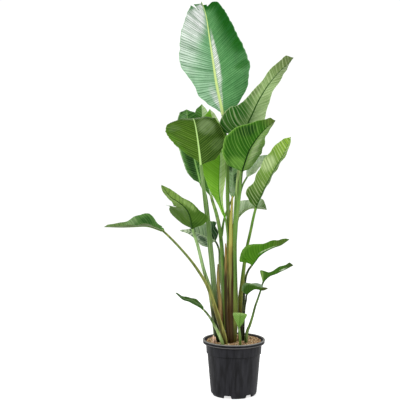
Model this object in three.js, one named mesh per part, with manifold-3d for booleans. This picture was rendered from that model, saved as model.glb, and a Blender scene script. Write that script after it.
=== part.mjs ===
// A giant white bird of paradise (Strelitzia nicolai) in its nursery pot, in millimetres, +Z up.
// The origin is the middle of the pot's underside. The plant's fan of leaves lies mostly along X,
// and its best side looks along -Y.

import * as THREE from "three";
import { mergeVertices } from "three/addons/utils/BufferGeometryUtils.js";
import Module from "manifold-3d";

const wasm = await Module();
wasm.setup();

// Pot: injection moulded, tapered, with a rolled rim, a collar with a small step and six drain notches
const pot = {
  height: 268,
  rimRadius: 150,
  rimHeight: 19,
  neckRadius: 134,
  collarRadius: 131.5,
  collarBottom: 202,
  bodyTopRadius: 127,
  bodyLowRadius: 111,
  heelHeight: 13,
  footRadius: 104,
  footWidth: 5,
  bossRadius: 14,
  wall: 2.5,
  floor: 3,
  floorRaise: 15.5,
  sides: 40,
  notches: 6,
  notchWidth: 44,
  notchHeight: 15,
  notchReach: 20,
  firstNotch: -108.6,
};

// Soil: the root ball with its granular top, a little under the rim
const soil = {
  level: 260,
  unevenness: 2.5,
  clearance: 0.6,
  underside: 19,
  heelInset: 12,
  heelTop: 26,
  rings: 5,
  stalkFoot: 214,
  holeClearance: 0.5,
};

// Leaves: every blade has two halves that leave the midrib at a fold and turn by a curl
const stations = [0, 0.05, 0.15, 0.3, 0.5, 0.7, 0.85, 0.95, 1];
const curveDivisions = 40;
const blade = {
  halfThickness: 0.6,
  jointGap: 0.4,
  tipHalfWidth: 1.5,
  curlReach: 150,
};

// Each leaf: its stalk from soil to blade as x, y, z, radius; its midrib from there to the tip as x, y, z;
// the way its upper side faces at the base and at the tip; the half widths at the inner stations on the
// left and right of the midrib; the folds in degrees at the base and the tip; the curls in degrees; and
// the height and number of the waves along its margins. Some have tears, each with its side, place, depth
// and reach, or sides that sweep towards the tip.
const leaves = [
  {
    name: "leaf_top",
    shoot: "main",
    stalk: [
      [-26, -50, 214, 15], [-25, -50, 320, 17.5], [-27, -48, 412, 18.5], [-30, -45, 536, 17.5],
      [-27, -40, 645, 14], [-26, -34, 749, 10.5], [-28, -26, 844, 9.5], [-32, -16, 962, 9],
      [-33, -6, 1089, 8.5], [-41, 2, 1221, 8], [-55, 10, 1340, 7],
    ],
    rib: [
      [-84, 20, 1480], [-100, 36, 1584], [-118, 66, 1704], [-131, 98, 1796], [-143, 116, 1845],
      [-155, 132, 1879],
    ],
    faces: [[-0.05, -1, 0.1], [0, -0.55, 0.8]],
    left: [16, 60, 108, 146, 103, 62, 15],
    right: [80, 148, 172, 138, 99, 66, 8],
    folds: [[12, 12], [12, 12]],
    curls: [-22, -32],
    waves: [4, 3],
    tears: [
      ["left", 0.225, -0.12, 0.06], ["left", 0.4, -0.19, 0.1], ["left", 0.86, 0.45, 0.02],
      ["right", 0.26, -0.05, 0.05], ["right", 0.91, 0.4, 0.02],
    ],
    sweeps: [[-0.7, 1.5], [0, 1.3]],
  },
  {
    name: "leaf_upper_right",
    shoot: "main",
    stalk: [
      [-7, -48, 214, 14], [1, -48, 344, 16], [3, -48, 440, 16.5], [1, -46, 560, 14],
      [0, -44, 703, 12], [4, -42, 864, 9.5], [12, -38, 987, 8.5], [23, -34, 1091, 8],
      [40, -30, 1166, 7.5], [54, -25, 1227, 7],
    ],
    rib: [
      [62, -35, 1297], [82, -45, 1344], [107, -58, 1400], [137, -72, 1453], [170, -85, 1500],
      [206, -95, 1541], [242, -92, 1574], [270, -70, 1604],
    ],
    faces: [[-0.1, 1, 0.1], [-0.5, 0.6, 0.6]],
    left: [70, 90, 82, 68, 66, 60, 44],
    right: [120, 129, 76, 42, 37, 37, 33],
    folds: [[20, 22], [9, 50]],
    curls: [5, 10],
    waves: [5, 4],
  },
  {
    name: "leaf_middle_left",
    shoot: "left",
    stalk: [
      [-69, -12, 214, 12], [-77, -20, 363, 12.5], [-90, -30, 461, 12], [-101, -42, 554, 11],
      [-107, -50, 627, 10.5], [-117, -60, 729, 10.5], [-124, -70, 825, 10], [-135, -76, 901, 9],
      [-142, -80, 962, 8.5], [-149, -84, 1028, 8], [-159, -88, 1108, 7],
    ],
    rib: [
      [-170, -90, 1201], [-182, -78, 1279], [-191, -55, 1315], [-197, -28, 1322],
      [-201, -4, 1304], [-205, 8, 1268], [-208, 12, 1222],
    ],
    faces: [[-0.05, -1, 0.15], [0, 0.35, 1]],
    left: [14, 58, 110, 145, 124, 80, 35],
    right: [70, 104, 128, 114, 90, 64, 32],
    folds: [[8, 8], [8, 8]],
    curls: [-45, -30],
    waves: [4, 5],
  },
  {
    name: "leaf_middle_right",
    shoot: "main",
    stalk: [
      [2, -49, 700, 7], [6, -56, 780, 7.5], [11, -60, 866, 8], [22, -66, 961, 7.5],
      [28, -71, 1032, 7], [33, -75, 1077, 6.5],
    ],
    rib: [
      [44, -80, 1113], [65, -92, 1173], [88, -102, 1213], [120, -112, 1256],
      [153, -115, 1289], [186, -105, 1314],
    ],
    faces: [[-0.35, 0.85, 0.3], [-0.5, 0.6, 0.6]],
    left: [40, 59, 86, 87, 52, 44, 24],
    right: [80, 110, 134, 132, 80, 42, 26],
    folds: [[10, 12], [5, 35]],
    curls: [10, -10],
    waves: [4, 5],
  },
  {
    name: "leaf_back_right_small",
    shoot: "main",
    stalk: [[5, -38, 800, 6], [18, -12, 906, 5.5], [35, 10, 993, 5], [62, 30, 1044, 4]],
    rib: [[90, 28, 1087], [118, 24, 1116], [142, 20, 1135], [165, 18, 1147]],
    faces: [[-0.3, -0.75, 0.6], [-0.3, -0.6, 0.75]],
    left: [10, 20, 30, 34, 28, 18, 9],
    right: [10, 20, 32, 36, 30, 20, 10],
    folds: [[10, 10], [10, 10]],
    curls: [-10, -10],
    waves: [2, 2],
    small: true,
  },
  {
    name: "leaf_long_right",
    shoot: "right",
    stalk: [
      [38, 13, 214, 13], [33, 12, 356, 15.5], [33, 11, 454, 14.5], [39, 10, 527, 11.5],
      [47, 8, 609, 9], [59, 4, 697, 7.5], [78, -6, 789, 7], [90, -18, 852, 6.5], [102, -32, 904, 6],
    ],
    rib: [
      [116, -36, 940], [129, -40, 970], [149, -46, 1014], [166, -50, 1048], [184, -55, 1082],
      [205, -58, 1118], [233, -60, 1167], [261, -55, 1237],
    ],
    faces: [[-0.5, 0.75, 0.3], [-0.5, 0.7, 0.4]],
    left: [12, 25, 34, 36, 36, 34, 22],
    right: [50, 87, 72, 76, 72, 58, 30],
    folds: [[40, 20], [5, 15]],
    curls: [5, 5],
    waves: [4, 5],
  },
  {
    name: "leaf_far_left",
    shoot: null,
    stalk: [
      [-38, -80, 214, 12], [-46, -82, 290, 13], [-60, -86, 335, 13.5], [-77, -90, 391, 12.5],
      [-98, -95, 457, 10.5], [-128, -103, 541, 8.5], [-168, -112, 611, 7.5], [-215, -124, 677, 6.5],
      [-276, -138, 748, 6], [-330, -150, 803, 5.5],
    ],
    rib: [
      [-343, -152, 808], [-375, -155, 820], [-400, -158, 827], [-425, -160, 829],
      [-472, -158, 826], [-526, -150, 823], [-606, -135, 823],
    ],
    faces: [[0.35, -0.1, 1], [0.1, 0, 1]],
    left: [22, 38, 48, 32, 26, 16, 12],
    right: [20, 30, 62, 46, 24, 18, 11],
    folds: [[20, 20], [62, 62]],
    curls: [15, 15],
    waves: [3, 4],
    small: true,
  },
  {
    name: "leaf_back_left",
    shoot: "left",
    stalk: [
      [-71, 0, 214, 9], [-86, 2, 455, 9], [-98, 8, 600, 8.5], [-112, 20, 743, 8], [-124, 38, 862, 7.5],
      [-134, 56, 942, 7], [-147, 70, 985, 6.5], [-160, 77, 1013, 6],
    ],
    rib: [
      [-183, 84, 1100], [-210, 90, 1220], [-223, 94, 1322], [-226, 106, 1363], [-229, 124, 1356],
      [-233, 136, 1316],
    ],
    faces: [[-0.2, -1, 0.15], [0, 0.2, 1]],
    left: [28, 50, 58, 64, 54, 38, 22],
    right: [30, 58, 71, 74, 66, 40, 22],
    folds: [[12, -30], [12, -30]],
    curls: [-20, -20],
    waves: [3, 4],
  },
  {
    name: "leaf_back_upper",
    shoot: "main",
    stalk: [
      [-39, -50, 320, 10], [-44, -42, 463, 10.5], [-52, -26, 600, 10], [-58, -8, 698, 9.5],
      [-68, 24, 791, 9], [-84, 62, 865, 8.5], [-109, 112, 948, 7],
    ],
    rib: [[-126, 130, 1049], [-140, 142, 1170], [-149, 150, 1290], [-154, 158, 1391]],
    faces: [[0, -1, 0.2], [0, -1, 0.3]],
    left: [20, 40, 58, 66, 62, 48, 28],
    right: [25, 42, 57, 60, 52, 38, 20],
    folds: [[14, 14], [14, 14]],
    curls: [-10, -10],
    waves: [3, 3],
  },
  {
    name: "leaf_young_upright",
    shoot: "main",
    stalk: [[-28, -34, 650, 8], [-29, -37, 740, 6], [-35, -41, 800, 5], [-43, -44, 850, 4.5]],
    rib: [
      [-62, -36, 911], [-73, 2, 982], [-71, 38, 1071], [-69, 56, 1141], [-84, 74, 1245],
      [-116, 96, 1367],
    ],
    faces: [[0.1, -1, 0.1], [0.1, -1, 0.2]],
    left: [8, 18, 54, 100, 110, 70, 35],
    right: [8, 16, 34, 42, 40, 32, 18],
    folds: [[10, 10], [50, 28]],
    curls: [-5, 5],
    waves: [3, 3],
  },
  {
    name: "leaf_back_middle",
    shoot: "main",
    stalk: [[-60, 12, 763, 7], [-48, 30, 838, 5], [-28, 40, 895, 5], [-8, 45, 942, 4.5]],
    rib: [[-6, 48, 1000], [-5, 52, 1067], [-9, 58, 1143], [-19, 64, 1205]],
    faces: [[0, -1, 0.3], [0, -1, 0.5]],
    left: [12, 22, 30, 34, 30, 22, 12],
    right: [12, 22, 30, 34, 30, 22, 12],
    folds: [[12, 12], [12, 12]],
    curls: [-10, -10],
    waves: [2, 2],
    small: true,
  },
  {
    name: "leaf_low_back_right",
    shoot: "main",
    stalk: [[5, -36, 750, 6], [10, -5, 803, 5], [20, 32, 845, 4.5]],
    rib: [[38, 30, 869], [62, 27, 887], [86, 24, 895], [124, 20, 893], [156, 16, 889]],
    faces: [[-0.2, -0.3, 1], [0.1, -0.3, 1]],
    left: [24, 48, 55, 42, 48, 46, 20],
    right: [15, 25, 32, 30, 38, 40, 20],
    folds: [[60, 60], [35, 35]],
    curls: [0, 0],
    waves: [2, 3],
    small: true,
  },
  {
    name: "leaf_folded_left",
    shoot: "left",
    stalk: [
      [-78, -30, 214, 13], [-92, -48, 369, 15], [-104, -58, 457, 14], [-119, -66, 530, 10.5],
      [-134, -72, 578, 9], [-146, -78, 617, 8.5], [-160, -88, 676, 8], [-174, -98, 734, 7.5],
      [-186, -108, 773, 7], [-197, -118, 813, 6.5],
    ],
    rib: [
      [-206, -124, 859], [-220, -130, 896], [-241, -136, 922], [-270, -140, 944],
      [-300, -142, 965], [-340, -140, 1018],
    ],
    faces: [[0.5, 0.8, 0.35], [0.35, 0.7, 0.6]],
    left: [55, 85, 54, 36, 34, 26, 10],
    right: [80, 146, 134, 52, 28, 25, 13],
    folds: [[14, 14], [14, 14]],
    curls: [10, 10],
    waves: [3, 3],
    tears: [["right", 0.36, -0.35, 0.03], ["right", 0.43, 0.45, 0.04]],
    sweeps: [[0, 0], [0.1, 0.7]],
  },
  {
    name: "leaf_back_low_left",
    shoot: null,
    stalk: [
      [-47, -8, 214, 8], [-50, -6, 340, 7.5], [-53, -4, 432, 7], [-57, 2, 513, 6.5],
      [-66, 8, 580, 6], [-69, 18, 642, 5.5], [-71, 36, 692, 5], [-89, 62, 731, 4.5],
    ],
    rib: [[-119, 66, 744], [-153, 70, 761], [-197, 76, 775], [-260, 84, 781]],
    faces: [[-0.1, -1, 0.5], [-0.1, -1, 0.6]],
    left: [36, 48, 52, 38, 22, 10, 5],
    right: [48, 80, 84, 44, 18, 9, 5],
    folds: [[15, 15], [15, 15]],
    curls: [-10, -10],
    waves: [3, 3],
    small: true,
  },
  {
    name: "leaf_lowest_left",
    shoot: null,
    stalk: [
      [-53, -102, 214, 9], [-57, -103, 270, 9], [-86, -116, 341, 7.5], [-119, -138, 403, 6],
      [-150, -160, 443, 5],
    ],
    rib: [[-174, -170, 460], [-195, -173, 471], [-216, -175, 482], [-243, -176, 491], [-276, -172, 521]],
    faces: [[0.3, 0, 1], [0.3, 0, 1]],
    left: [14, 20, 24, 22, 18, 12, 7],
    right: [14, 22, 26, 22, 16, 10, 6],
    folds: [[40, 40], [55, 55]],
    curls: [10, 10],
    waves: [2, 3],
    small: true,
  },
  {
    name: "leaf_paddle_right",
    shoot: "right",
    stalk: [[43, 2, 214, 8], [44, -30, 415, 6.5], [50, -56, 550, 6], [61, -78, 604, 5.5], [80, -94, 637, 5]],
    rib: [
      [98, -98, 661], [112, -101, 680], [133, -105, 698], [156, -108, 712],
      [184, -111, 725], [215, -113, 736], [253, -113, 762],
    ],
    faces: [[-0.5, 0.1, 0.85], [-0.3, 0.1, 0.95]],
    left: [60, 62, 42, 26, 20, 14, 7],
    right: [58, 76, 81, 45, 33, 27, 13],
    folds: [[80, 80], [62, 66]],
    curls: [0, 0],
    waves: [3, 3],
    small: true,
    sweeps: [[-0.2, 0], [-1.1, 0.3]],
  },
  {
    name: "leaf_small_right_upper",
    shoot: null,
    stalk: [
      [51, -55, 214, 9], [60, -55, 308, 8], [74, -56, 347, 7], [87, -58, 391, 6],
      [98, -61, 435, 5.5], [112, -64, 477, 5], [123, -68, 512, 4.5], [134, -74, 551, 4],
    ],
    rib: [
      [149, -76, 571], [168, -79, 586], [195, -82, 596],
      [216, -85, 607], [240, -87, 618], [275, -87, 637],
    ],
    faces: [[-0.4, 0.3, 0.85], [-0.3, 0.1, 0.9]],
    left: [12, 34, 16, 24, 22, 20, 16],
    right: [12, 52, 17, 26, 24, 23, 22],
    folds: [[58, 58], [58, 58]],
    curls: [0, 0],
    waves: [2, 3],
    small: true,
    sweeps: [[0.1, 0], [0.35, 0]],
  },
  {
    name: "leaf_small_right_lower",
    shoot: "right",
    stalk: [[45, -8, 214, 7], [45, -30, 340, 6], [48, -60, 423, 5], [54, -78, 468, 4.5], [57, -92, 497, 4]],
    rib: [[72, -98, 514], [92, -106, 527], [111, -113, 527], [131, -118, 523], [154, -122, 532]],
    faces: [[-0.3, 0.3, 0.9], [-0.1, 0.1, 1]],
    left: [30, 40, 42, 32, 24, 17, 9],
    right: [32, 48, 52, 22, 20, 17, 9],
    folds: [[55, 55], [52, 52]],
    curls: [0, 0],
    waves: [2, 2],
    small: true,
  },
  {
    name: "leaf_seedling_front",
    shoot: null,
    stalk: [[27, -100, 214, 7], [26, -102, 293, 6.5], [21, -114, 344, 5]],
    rib: [[23, -120, 370], [24, -123, 391], [25, -124, 408], [26, -124, 418]],
    faces: [[0, 1, 0.2], [0, 1, 0.1]],
    left: [6, 11, 18, 25, 31, 34, 30],
    right: [6, 11, 18, 25, 31, 34, 30],
    folds: [[30, 10], [30, 10]],
    curls: [22, 22],
    waves: [1, 2],
    small: true,
  },
];

// Sheaths of spent leaves that still wrap the shoots
const sheaths = [
  {
    name: "main_pale",
    shoot: "main",
    path: [
      [-14, -56, 214, 13], [-15, -57, 330, 13], [-16, -56, 440, 12.5], [-16, -55, 560, 12.5],
      [-17, -53, 647, 12], [-17, -51, 751, 9.5], [-15, -47, 869, 7.5], [-9, -42, 959, 3],
    ],
  },
  {
    name: "main_brown",
    shoot: "main",
    path: [
      [-30, -54, 214, 13], [-28, -54, 300, 14], [-34, -54, 400, 12], [-38, -52, 500, 10.5],
      [-40, -50, 620, 8], [-42, -46, 735, 2.5],
    ],
  },
  {
    name: "dried_sheath",
    shoot: null,
    path: [
      [-56, -48, 214, 11], [-63, -48, 387, 11], [-68, -46, 464, 10.5],
      [-74, -45, 536, 9.5], [-76, -45, 590, 7.5], [-77, -45, 636, 3],
    ],
  },
];

const colours = {
  pot: [0x2a2a2d, 0.55],
  soil: [0xc08a62, 0.95],
  blade: [0x3f8a2e, 0.4],
  stalk: [0x86a850, 0.45],
  dried: [0xb08a52, 0.8],
};

const degrees = Math.PI / 180;
const lerp = THREE.MathUtils.lerp;

const plant = new THREE.Group();

function addMesh(name, geometry, [colour, roughness]) {
  geometry.computeVertexNormals();
  const material = new THREE.MeshStandardMaterial({ color: colour, roughness, metalness: 0 });
  const mesh = new THREE.Mesh(geometry, material);
  mesh.name = name;
  plant.add(mesh);
}

function meshGeometry(positions, indices) {
  const geometry = new THREE.BufferGeometry();
  geometry.setAttribute("position", new THREE.Float32BufferAttribute(positions, 3));
  geometry.setIndex(indices);
  return geometry;
}

// Solids for cutting and joining
function toSolid(geometry) {
  const bare = geometry.clone();
  bare.deleteAttribute("normal");
  bare.deleteAttribute("uv");
  const merged = mergeVertices(bare, 1e-4);
  const vertProperties = Float32Array.from(merged.attributes.position.array);
  const triVerts = Uint32Array.from(merged.index.array);
  return new wasm.Manifold(new wasm.Mesh({ numProp: 3, vertProperties, triVerts }));
}

function fromSolid(solid) {
  const mesh = solid.getMesh();
  return meshGeometry(Array.from(mesh.vertProperties), Array.from(mesh.triVerts));
}

// Random draws that come out alike every time
function seededRandom(seed) {
  let state = seed;
  return () => {
    state = (state * 1664525 + 1013904223) % 4294967296;
    return state / 4294967296;
  };
}

// A smooth curve through the first three numbers of each point
function smoothCurve(path) {
  const points = path.map(([x, y, z]) => new THREE.Vector3(x, y, z));
  const curve = new THREE.CatmullRomCurve3(points, false, "catmullrom", 0.5);
  curve.arcLengthDivisions = curveDivisions * (path.length - 1);
  return curve;
}

// A round stalk along a smooth path, its ends closed by fans. The curve goes on through the points beyond,
// so that a stalk and the midrib that follows it share one line.
function stalkGeometry(path, beyond = [], extraRadius = 0, sides = 8) {
  const curve = smoothCurve([...path, ...beyond]);
  const spans = path.length - 1;
  const reach = spans / (spans + beyond.length);
  const rings = spans < 6 ? spans * 2 : spans;
  const positions = [];
  const indices = [];
  let side = new THREE.Vector3(1, 0, 0);
  for (let ring = 0; ring <= rings; ring += 1) {
    const t = ring / rings;
    const centre = curve.getPoint(t * reach);
    const along = curve.getTangent(t * reach);
    side = side.addScaledVector(along, -side.dot(along)).normalize();
    const up = new THREE.Vector3().crossVectors(along, side);
    const span = Math.min(Math.floor(t * spans), spans - 1);
    const radius = lerp(path[span][3], path[span + 1][3], t * spans - span) + extraRadius;
    for (let k = 0; k < sides; k += 1) {
      const angle = (k / sides) * 2 * Math.PI;
      const point = centre.clone();
      point.addScaledVector(side, radius * Math.cos(angle));
      point.addScaledVector(up, radius * Math.sin(angle));
      positions.push(point.x, point.y, point.z);
    }
  }
  for (let ring = 0; ring < rings; ring += 1) {
    for (let k = 0; k < sides; k += 1) {
      const a = ring * sides + k;
      const b = ring * sides + ((k + 1) % sides);
      indices.push(a, b, b + sides, a, b + sides, a + sides);
    }
  }
  const last = rings * sides;
  for (let k = 1; k < sides - 1; k += 1) {
    indices.push(0, k + 1, k);
    indices.push(last, last + k, last + k + 1);
  }
  return meshGeometry(positions, indices);
}

// The half width at s, 0 at the stalk and 1 at the tip, smooth through the widths at the stations
function halfWidth(leaf, side, s) {
  const stalkRadius = leaf.stalk[leaf.stalk.length - 1][3];
  const widths = [stalkRadius, ...leaf[side], blade.tipHalfWidth];
  let span = 0;
  while (span < stations.length - 2 && s > stations[span + 1]) {
    span += 1;
  }
  const f = (s - stations[span]) / (stations[span + 1] - stations[span]);
  const b = widths[span];
  const c = widths[span + 1];
  const a = span > 0 ? widths[span - 1] : b;
  const d = span < widths.length - 2 ? widths[span + 2] : c;
  const smooth =
    0.5 * (2 * b + (c - a) * f + (2 * a - 5 * b + 4 * c - d) * f ** 2 + (3 * b - a - 3 * c + d) * f ** 3);
  let kept = 1;
  for (const [tearSide, at, depth, reach] of leaf.tears ?? []) {
    if (tearSide === side) {
      kept -= depth * Math.max(0, 1 - Math.abs(s - at) / reach);
    }
  }
  return Math.max(smooth, blade.tipHalfWidth) * kept;
}

// The places along the midrib where the blade has a row: the stations, the middles between them
// and the three rows of each tear
function rowPlaces(leaf) {
  const rows = new Set(stations);
  if (!leaf.small) {
    for (let i = 0; i < stations.length - 1; i += 1) {
      rows.add((stations[i] + stations[i + 1]) / 2);
    }
  }
  for (const [, at, , reach] of leaf.tears ?? []) {
    rows.add(at - reach);
    rows.add(at);
    rows.add(at + reach);
  }
  return [...rows].sort((a, b) => a - b);
}

// The middle surface of a blade. Across, each half is an arc that leaves the midrib at the fold and turns
// by the curl, and its margin waves up and down.
function bladeGrid(leaf) {
  const curve = smoothCurve([...leaf.stalk, ...leaf.rib]);
  const lengths = curve.getLengths();
  const total = lengths[lengths.length - 1];
  const start = lengths[curveDivisions * (leaf.stalk.length - 1)] + blade.jointGap;
  const across = leaf.small ? [0, 0.2, 0.6, 1] : [0, 0.16, 0.42, 0.72, 1];
  const [faceBase, faceTip] = leaf.faces.map((face) => new THREE.Vector3(...face).normalize());
  const [waveHeight, waveCount] = leaf.waves;
  return rowPlaces(leaf).map((s) => {
    const place = Math.min(lerp(start / total, 1, s), 1);
    const along = curve.getTangentAt(place);
    const centre = curve.getPointAt(place);
    const up = faceBase.clone().lerp(faceTip, s);
    up.addScaledVector(along, -up.dot(along)).normalize();
    const right = new THREE.Vector3().crossVectors(along, up);
    const row = [];
    for (const [side, sign, k] of [["left", -1, 0], ["right", 1, 1]]) {
      const width = halfWidth(leaf, side, s);
      const fold = lerp(leaf.folds[k][0], leaf.folds[k][1], s) * degrees;
      const lean = leaf.sweeps ? lerp(leaf.sweeps[k][0], leaf.sweeps[k][1], s) : 0;
      const sweep = lean * Math.min(s / stations[1], 1);
      const turn = (leaf.curls[k] * degrees) / blade.curlReach;
      const half = across.map((fraction) => {
        const reach = fraction * width;
        const angle = fold + turn * reach;
        const flat = Math.abs(turn) < 1e-6;
        const out = flat ? reach * Math.cos(fold) : (Math.sin(angle) - Math.sin(fold)) / turn;
        const rise = flat ? reach * Math.sin(fold) : (Math.cos(fold) - Math.cos(angle)) / turn;
        const phase = 2 * Math.PI * waveCount * s + k * 1.7;
        const wave = waveHeight * fraction ** 2 * Math.sin(phase) * Math.sin(Math.PI * s);
        const point = centre.clone().addScaledVector(right, sign * out);
        return point.addScaledVector(up, rise + wave).addScaledVector(along, sweep * out);
      });
      if (side === "left") {
        row.push(...half.reverse().slice(0, -1));
      } else {
        row.push(...half);
      }
    }
    return { points: row, up, s };
  });
}

// A blade: its middle surface given thickness, with the midrib standing out underneath
function bladeGeometry(leaf) {
  const rows = bladeGrid(leaf);
  const columns = rows[0].points.length;
  const middle = (columns - 1) / 2;
  const stalkRadius = leaf.stalk[leaf.stalk.length - 1][3];
  const upper = [];
  const lower = [];
  rows.forEach(({ points, up, s }, i) => {
    const before = rows[Math.max(i - 1, 0)].points;
    const after = rows[Math.min(i + 1, rows.length - 1)].points;
    for (let j = 0; j < columns; j += 1) {
      const along = after[j].clone().sub(before[j]);
      const outward = points[Math.min(j + 1, columns - 1)].clone().sub(points[Math.max(j - 1, 0)]);
      const normal = new THREE.Vector3().crossVectors(outward, along).normalize();
      if (i === 0) {
        normal.copy(up);
      } else if (normal.dot(up) < 0) {
        normal.negate();
      }
      const ribDepth = j === middle ? lerp(stalkRadius, 1, Math.sqrt(s)) : 0;
      upper.push(points[j].clone().addScaledVector(normal, blade.halfThickness));
      const under = points[j].clone().addScaledVector(normal, -blade.halfThickness);
      lower.push(under.addScaledVector(up, -ribDepth));
    }
  });
  const positions = [...upper, ...lower].flatMap(({ x, y, z }) => [x, y, z]);
  const count = upper.length;
  const indices = [];
  for (let i = 0; i < rows.length - 1; i += 1) {
    for (let j = 0; j < columns - 1; j += 1) {
      const a = i * columns + j;
      const b = a + 1;
      const c = a + columns;
      const d = c + 1;
      indices.push(a, b, d, a, d, c);
      indices.push(count + a, count + d, count + b, count + a, count + c, count + d);
    }
    const first = i * columns;
    const firstNext = first + columns;
    indices.push(first, firstNext, count + firstNext, first, count + firstNext, count + first);
    const last = firstNext - 1;
    const lastNext = last + columns;
    indices.push(last, count + last, count + lastNext, last, count + lastNext, lastNext);
  }
  const lastRow = (rows.length - 1) * columns;
  for (let j = 0; j < columns - 1; j += 1) {
    indices.push(j, count + j, count + j + 1, j, count + j + 1, j + 1);
    const e = lastRow + j;
    indices.push(e, e + 1, count + e + 1, e, count + e + 1, count + e);
  }
  return meshGeometry(positions, indices);
}

// Pot
function potInnerRadius(z) {
  if (z > pot.collarBottom) {
    const f = (z - pot.collarBottom) / (pot.height - pot.rimHeight - pot.collarBottom);
    return lerp(pot.collarRadius, pot.neckRadius, Math.min(f, 1)) - pot.wall;
  }
  const f = (z - pot.heelHeight) / (pot.collarBottom - pot.heelHeight);
  return lerp(pot.bodyLowRadius, pot.bodyTopRadius, f) - pot.wall;
}

function latheUp(profile, sides) {
  const points = profile.map(([radius, z]) => new THREE.Vector2(radius, z));
  return new THREE.LatheGeometry(points, sides).rotateX(Math.PI / 2);
}

function potGeometry() {
  const rimBottom = pot.height - pot.rimHeight;
  const profile = [
    [0, 0],
    [pot.bossRadius, 0],
    [pot.bossRadius, pot.floorRaise],
    [pot.footRadius - pot.footWidth, pot.floorRaise],
    [pot.footRadius - pot.footWidth, 0],
    [pot.footRadius, 0],
    [pot.footRadius + 4, 5],
    [pot.bodyLowRadius, pot.heelHeight],
    [pot.bodyTopRadius, pot.collarBottom - 1],
    [pot.collarRadius, pot.collarBottom + 1],
    [pot.neckRadius, rimBottom - 3],
    [pot.rimRadius - 4, rimBottom],
    [pot.rimRadius, rimBottom + 4],
    [pot.rimRadius, pot.height - 5],
    [pot.rimRadius - 4, pot.height],
    [pot.rimRadius - 9, pot.height],
    [potInnerRadius(rimBottom) + 2, pot.height - 8],
    [potInnerRadius(rimBottom), rimBottom],
    [potInnerRadius(pot.collarBottom + 3), pot.collarBottom + 3],
    [potInnerRadius(pot.collarBottom - 3), pot.collarBottom - 3],
    [potInnerRadius(pot.floorRaise + 8), pot.floorRaise + 8],
    [pot.footRadius - pot.wall, pot.floorRaise + pot.floor],
    [0, pot.floorRaise + pot.floor],
  ];
  let solid = toSolid(latheUp(profile, pot.sides));
  for (let k = 0; k < pot.notches; k += 1) {
    const angle = (pot.firstNotch + (k * 360) / pot.notches) * degrees;
    const arch = new THREE.Shape();
    arch.moveTo(-pot.notchWidth / 2, -1);
    arch.lineTo(pot.notchWidth / 2, -1);
    arch.lineTo(pot.notchWidth / 2 - 3, pot.notchHeight);
    arch.lineTo(3 - pot.notchWidth / 2, pot.notchHeight);
    const cutter = new THREE.ExtrudeGeometry(arch, { depth: 30, bevelEnabled: false });
    cutter.rotateX(Math.PI / 2);
    cutter.translate(0, pot.notchReach - pot.bodyLowRadius, 0);
    cutter.rotateZ(angle + Math.PI / 2);
    solid = solid.subtract(toSolid(cutter));
  }
  return fromSolid(solid);
}

// Soil with a plain hole for every stalk
function soilGeometry(holePaths) {
  const random = seededRandom(7);
  const outer = (z) => potInnerRadius(z) - soil.clearance;
  const under = [
    [0, soil.underside],
    [potInnerRadius(pot.heelHeight) - soil.heelInset, soil.underside],
    [outer(soil.heelTop), soil.heelTop],
    [outer(pot.collarBottom - 3), pot.collarBottom - 3],
    [outer(pot.collarBottom + 3), pot.collarBottom + 3],
    [outer(soil.level), soil.level - 2],
  ];
  const top = [];
  for (let ring = 0; ring <= soil.rings; ring += 1) {
    top.push([outer(soil.level) * (1 - ring / soil.rings), soil.level]);
  }
  const geometry = latheUp([...under, ...top], pot.sides);
  const merged = mergeVertices(stripped(geometry), 1e-3);
  const position = merged.attributes.position;
  for (let i = 0; i < position.count; i += 1) {
    const radius = Math.hypot(position.getX(i), position.getY(i));
    if (position.getZ(i) > soil.level - 1 && radius < outer(soil.level) - 1) {
      position.setZ(i, soil.level + soil.unevenness * (2 * random() - 1));
    }
  }
  let solid = toSolid(merged);
  for (const [[x, y, z, radius], ...rest] of holePaths) {
    const deeper = [[x, y, z - soil.holeClearance, radius], ...rest];
    solid = solid.subtract(toSolid(stalkGeometry(deeper, [], soil.holeClearance)));
  }
  return fromSolid(solid);
}

function stripped(geometry) {
  geometry.deleteAttribute("normal");
  geometry.deleteAttribute("uv");
  return geometry;
}

// Assembly
const shoots = { main: [], left: [], right: [] };
const holePaths = [];

for (const leaf of leaves) {
  if (leaf.stalk[0][2] === soil.stalkFoot) {
    holePaths.push(leaf.stalk);
  }
  if (leaf.shoot) {
    shoots[leaf.shoot].push(stalkGeometry(leaf.stalk, leaf.rib));
  } else {
    addMesh(`${leaf.name}_stalk`, stalkGeometry(leaf.stalk, leaf.rib), colours.stalk);
  }
  addMesh(`${leaf.name}_blade`, bladeGeometry(leaf), colours.blade);
}

for (const sheath of sheaths) {
  holePaths.push(sheath.path);
  if (sheath.shoot) {
    shoots[sheath.shoot].push(stalkGeometry(sheath.path));
  } else {
    addMesh(sheath.name, stalkGeometry(sheath.path), colours.dried);
  }
}

for (const [name, stalks] of Object.entries(shoots)) {
  const joined = stalks.map(toSolid).reduce((a, b) => a.add(b));
  addMesh(`${name}_shoot_stalks`, fromSolid(joined), colours.stalk);
}

addMesh("pot", potGeometry(), colours.pot);
addMesh("soil", soilGeometry(holePaths), colours.soil);

export default plant;
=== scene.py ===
# A giant white bird of paradise in its nursery pot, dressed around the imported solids. Metres, +Z up.

import math

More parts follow.
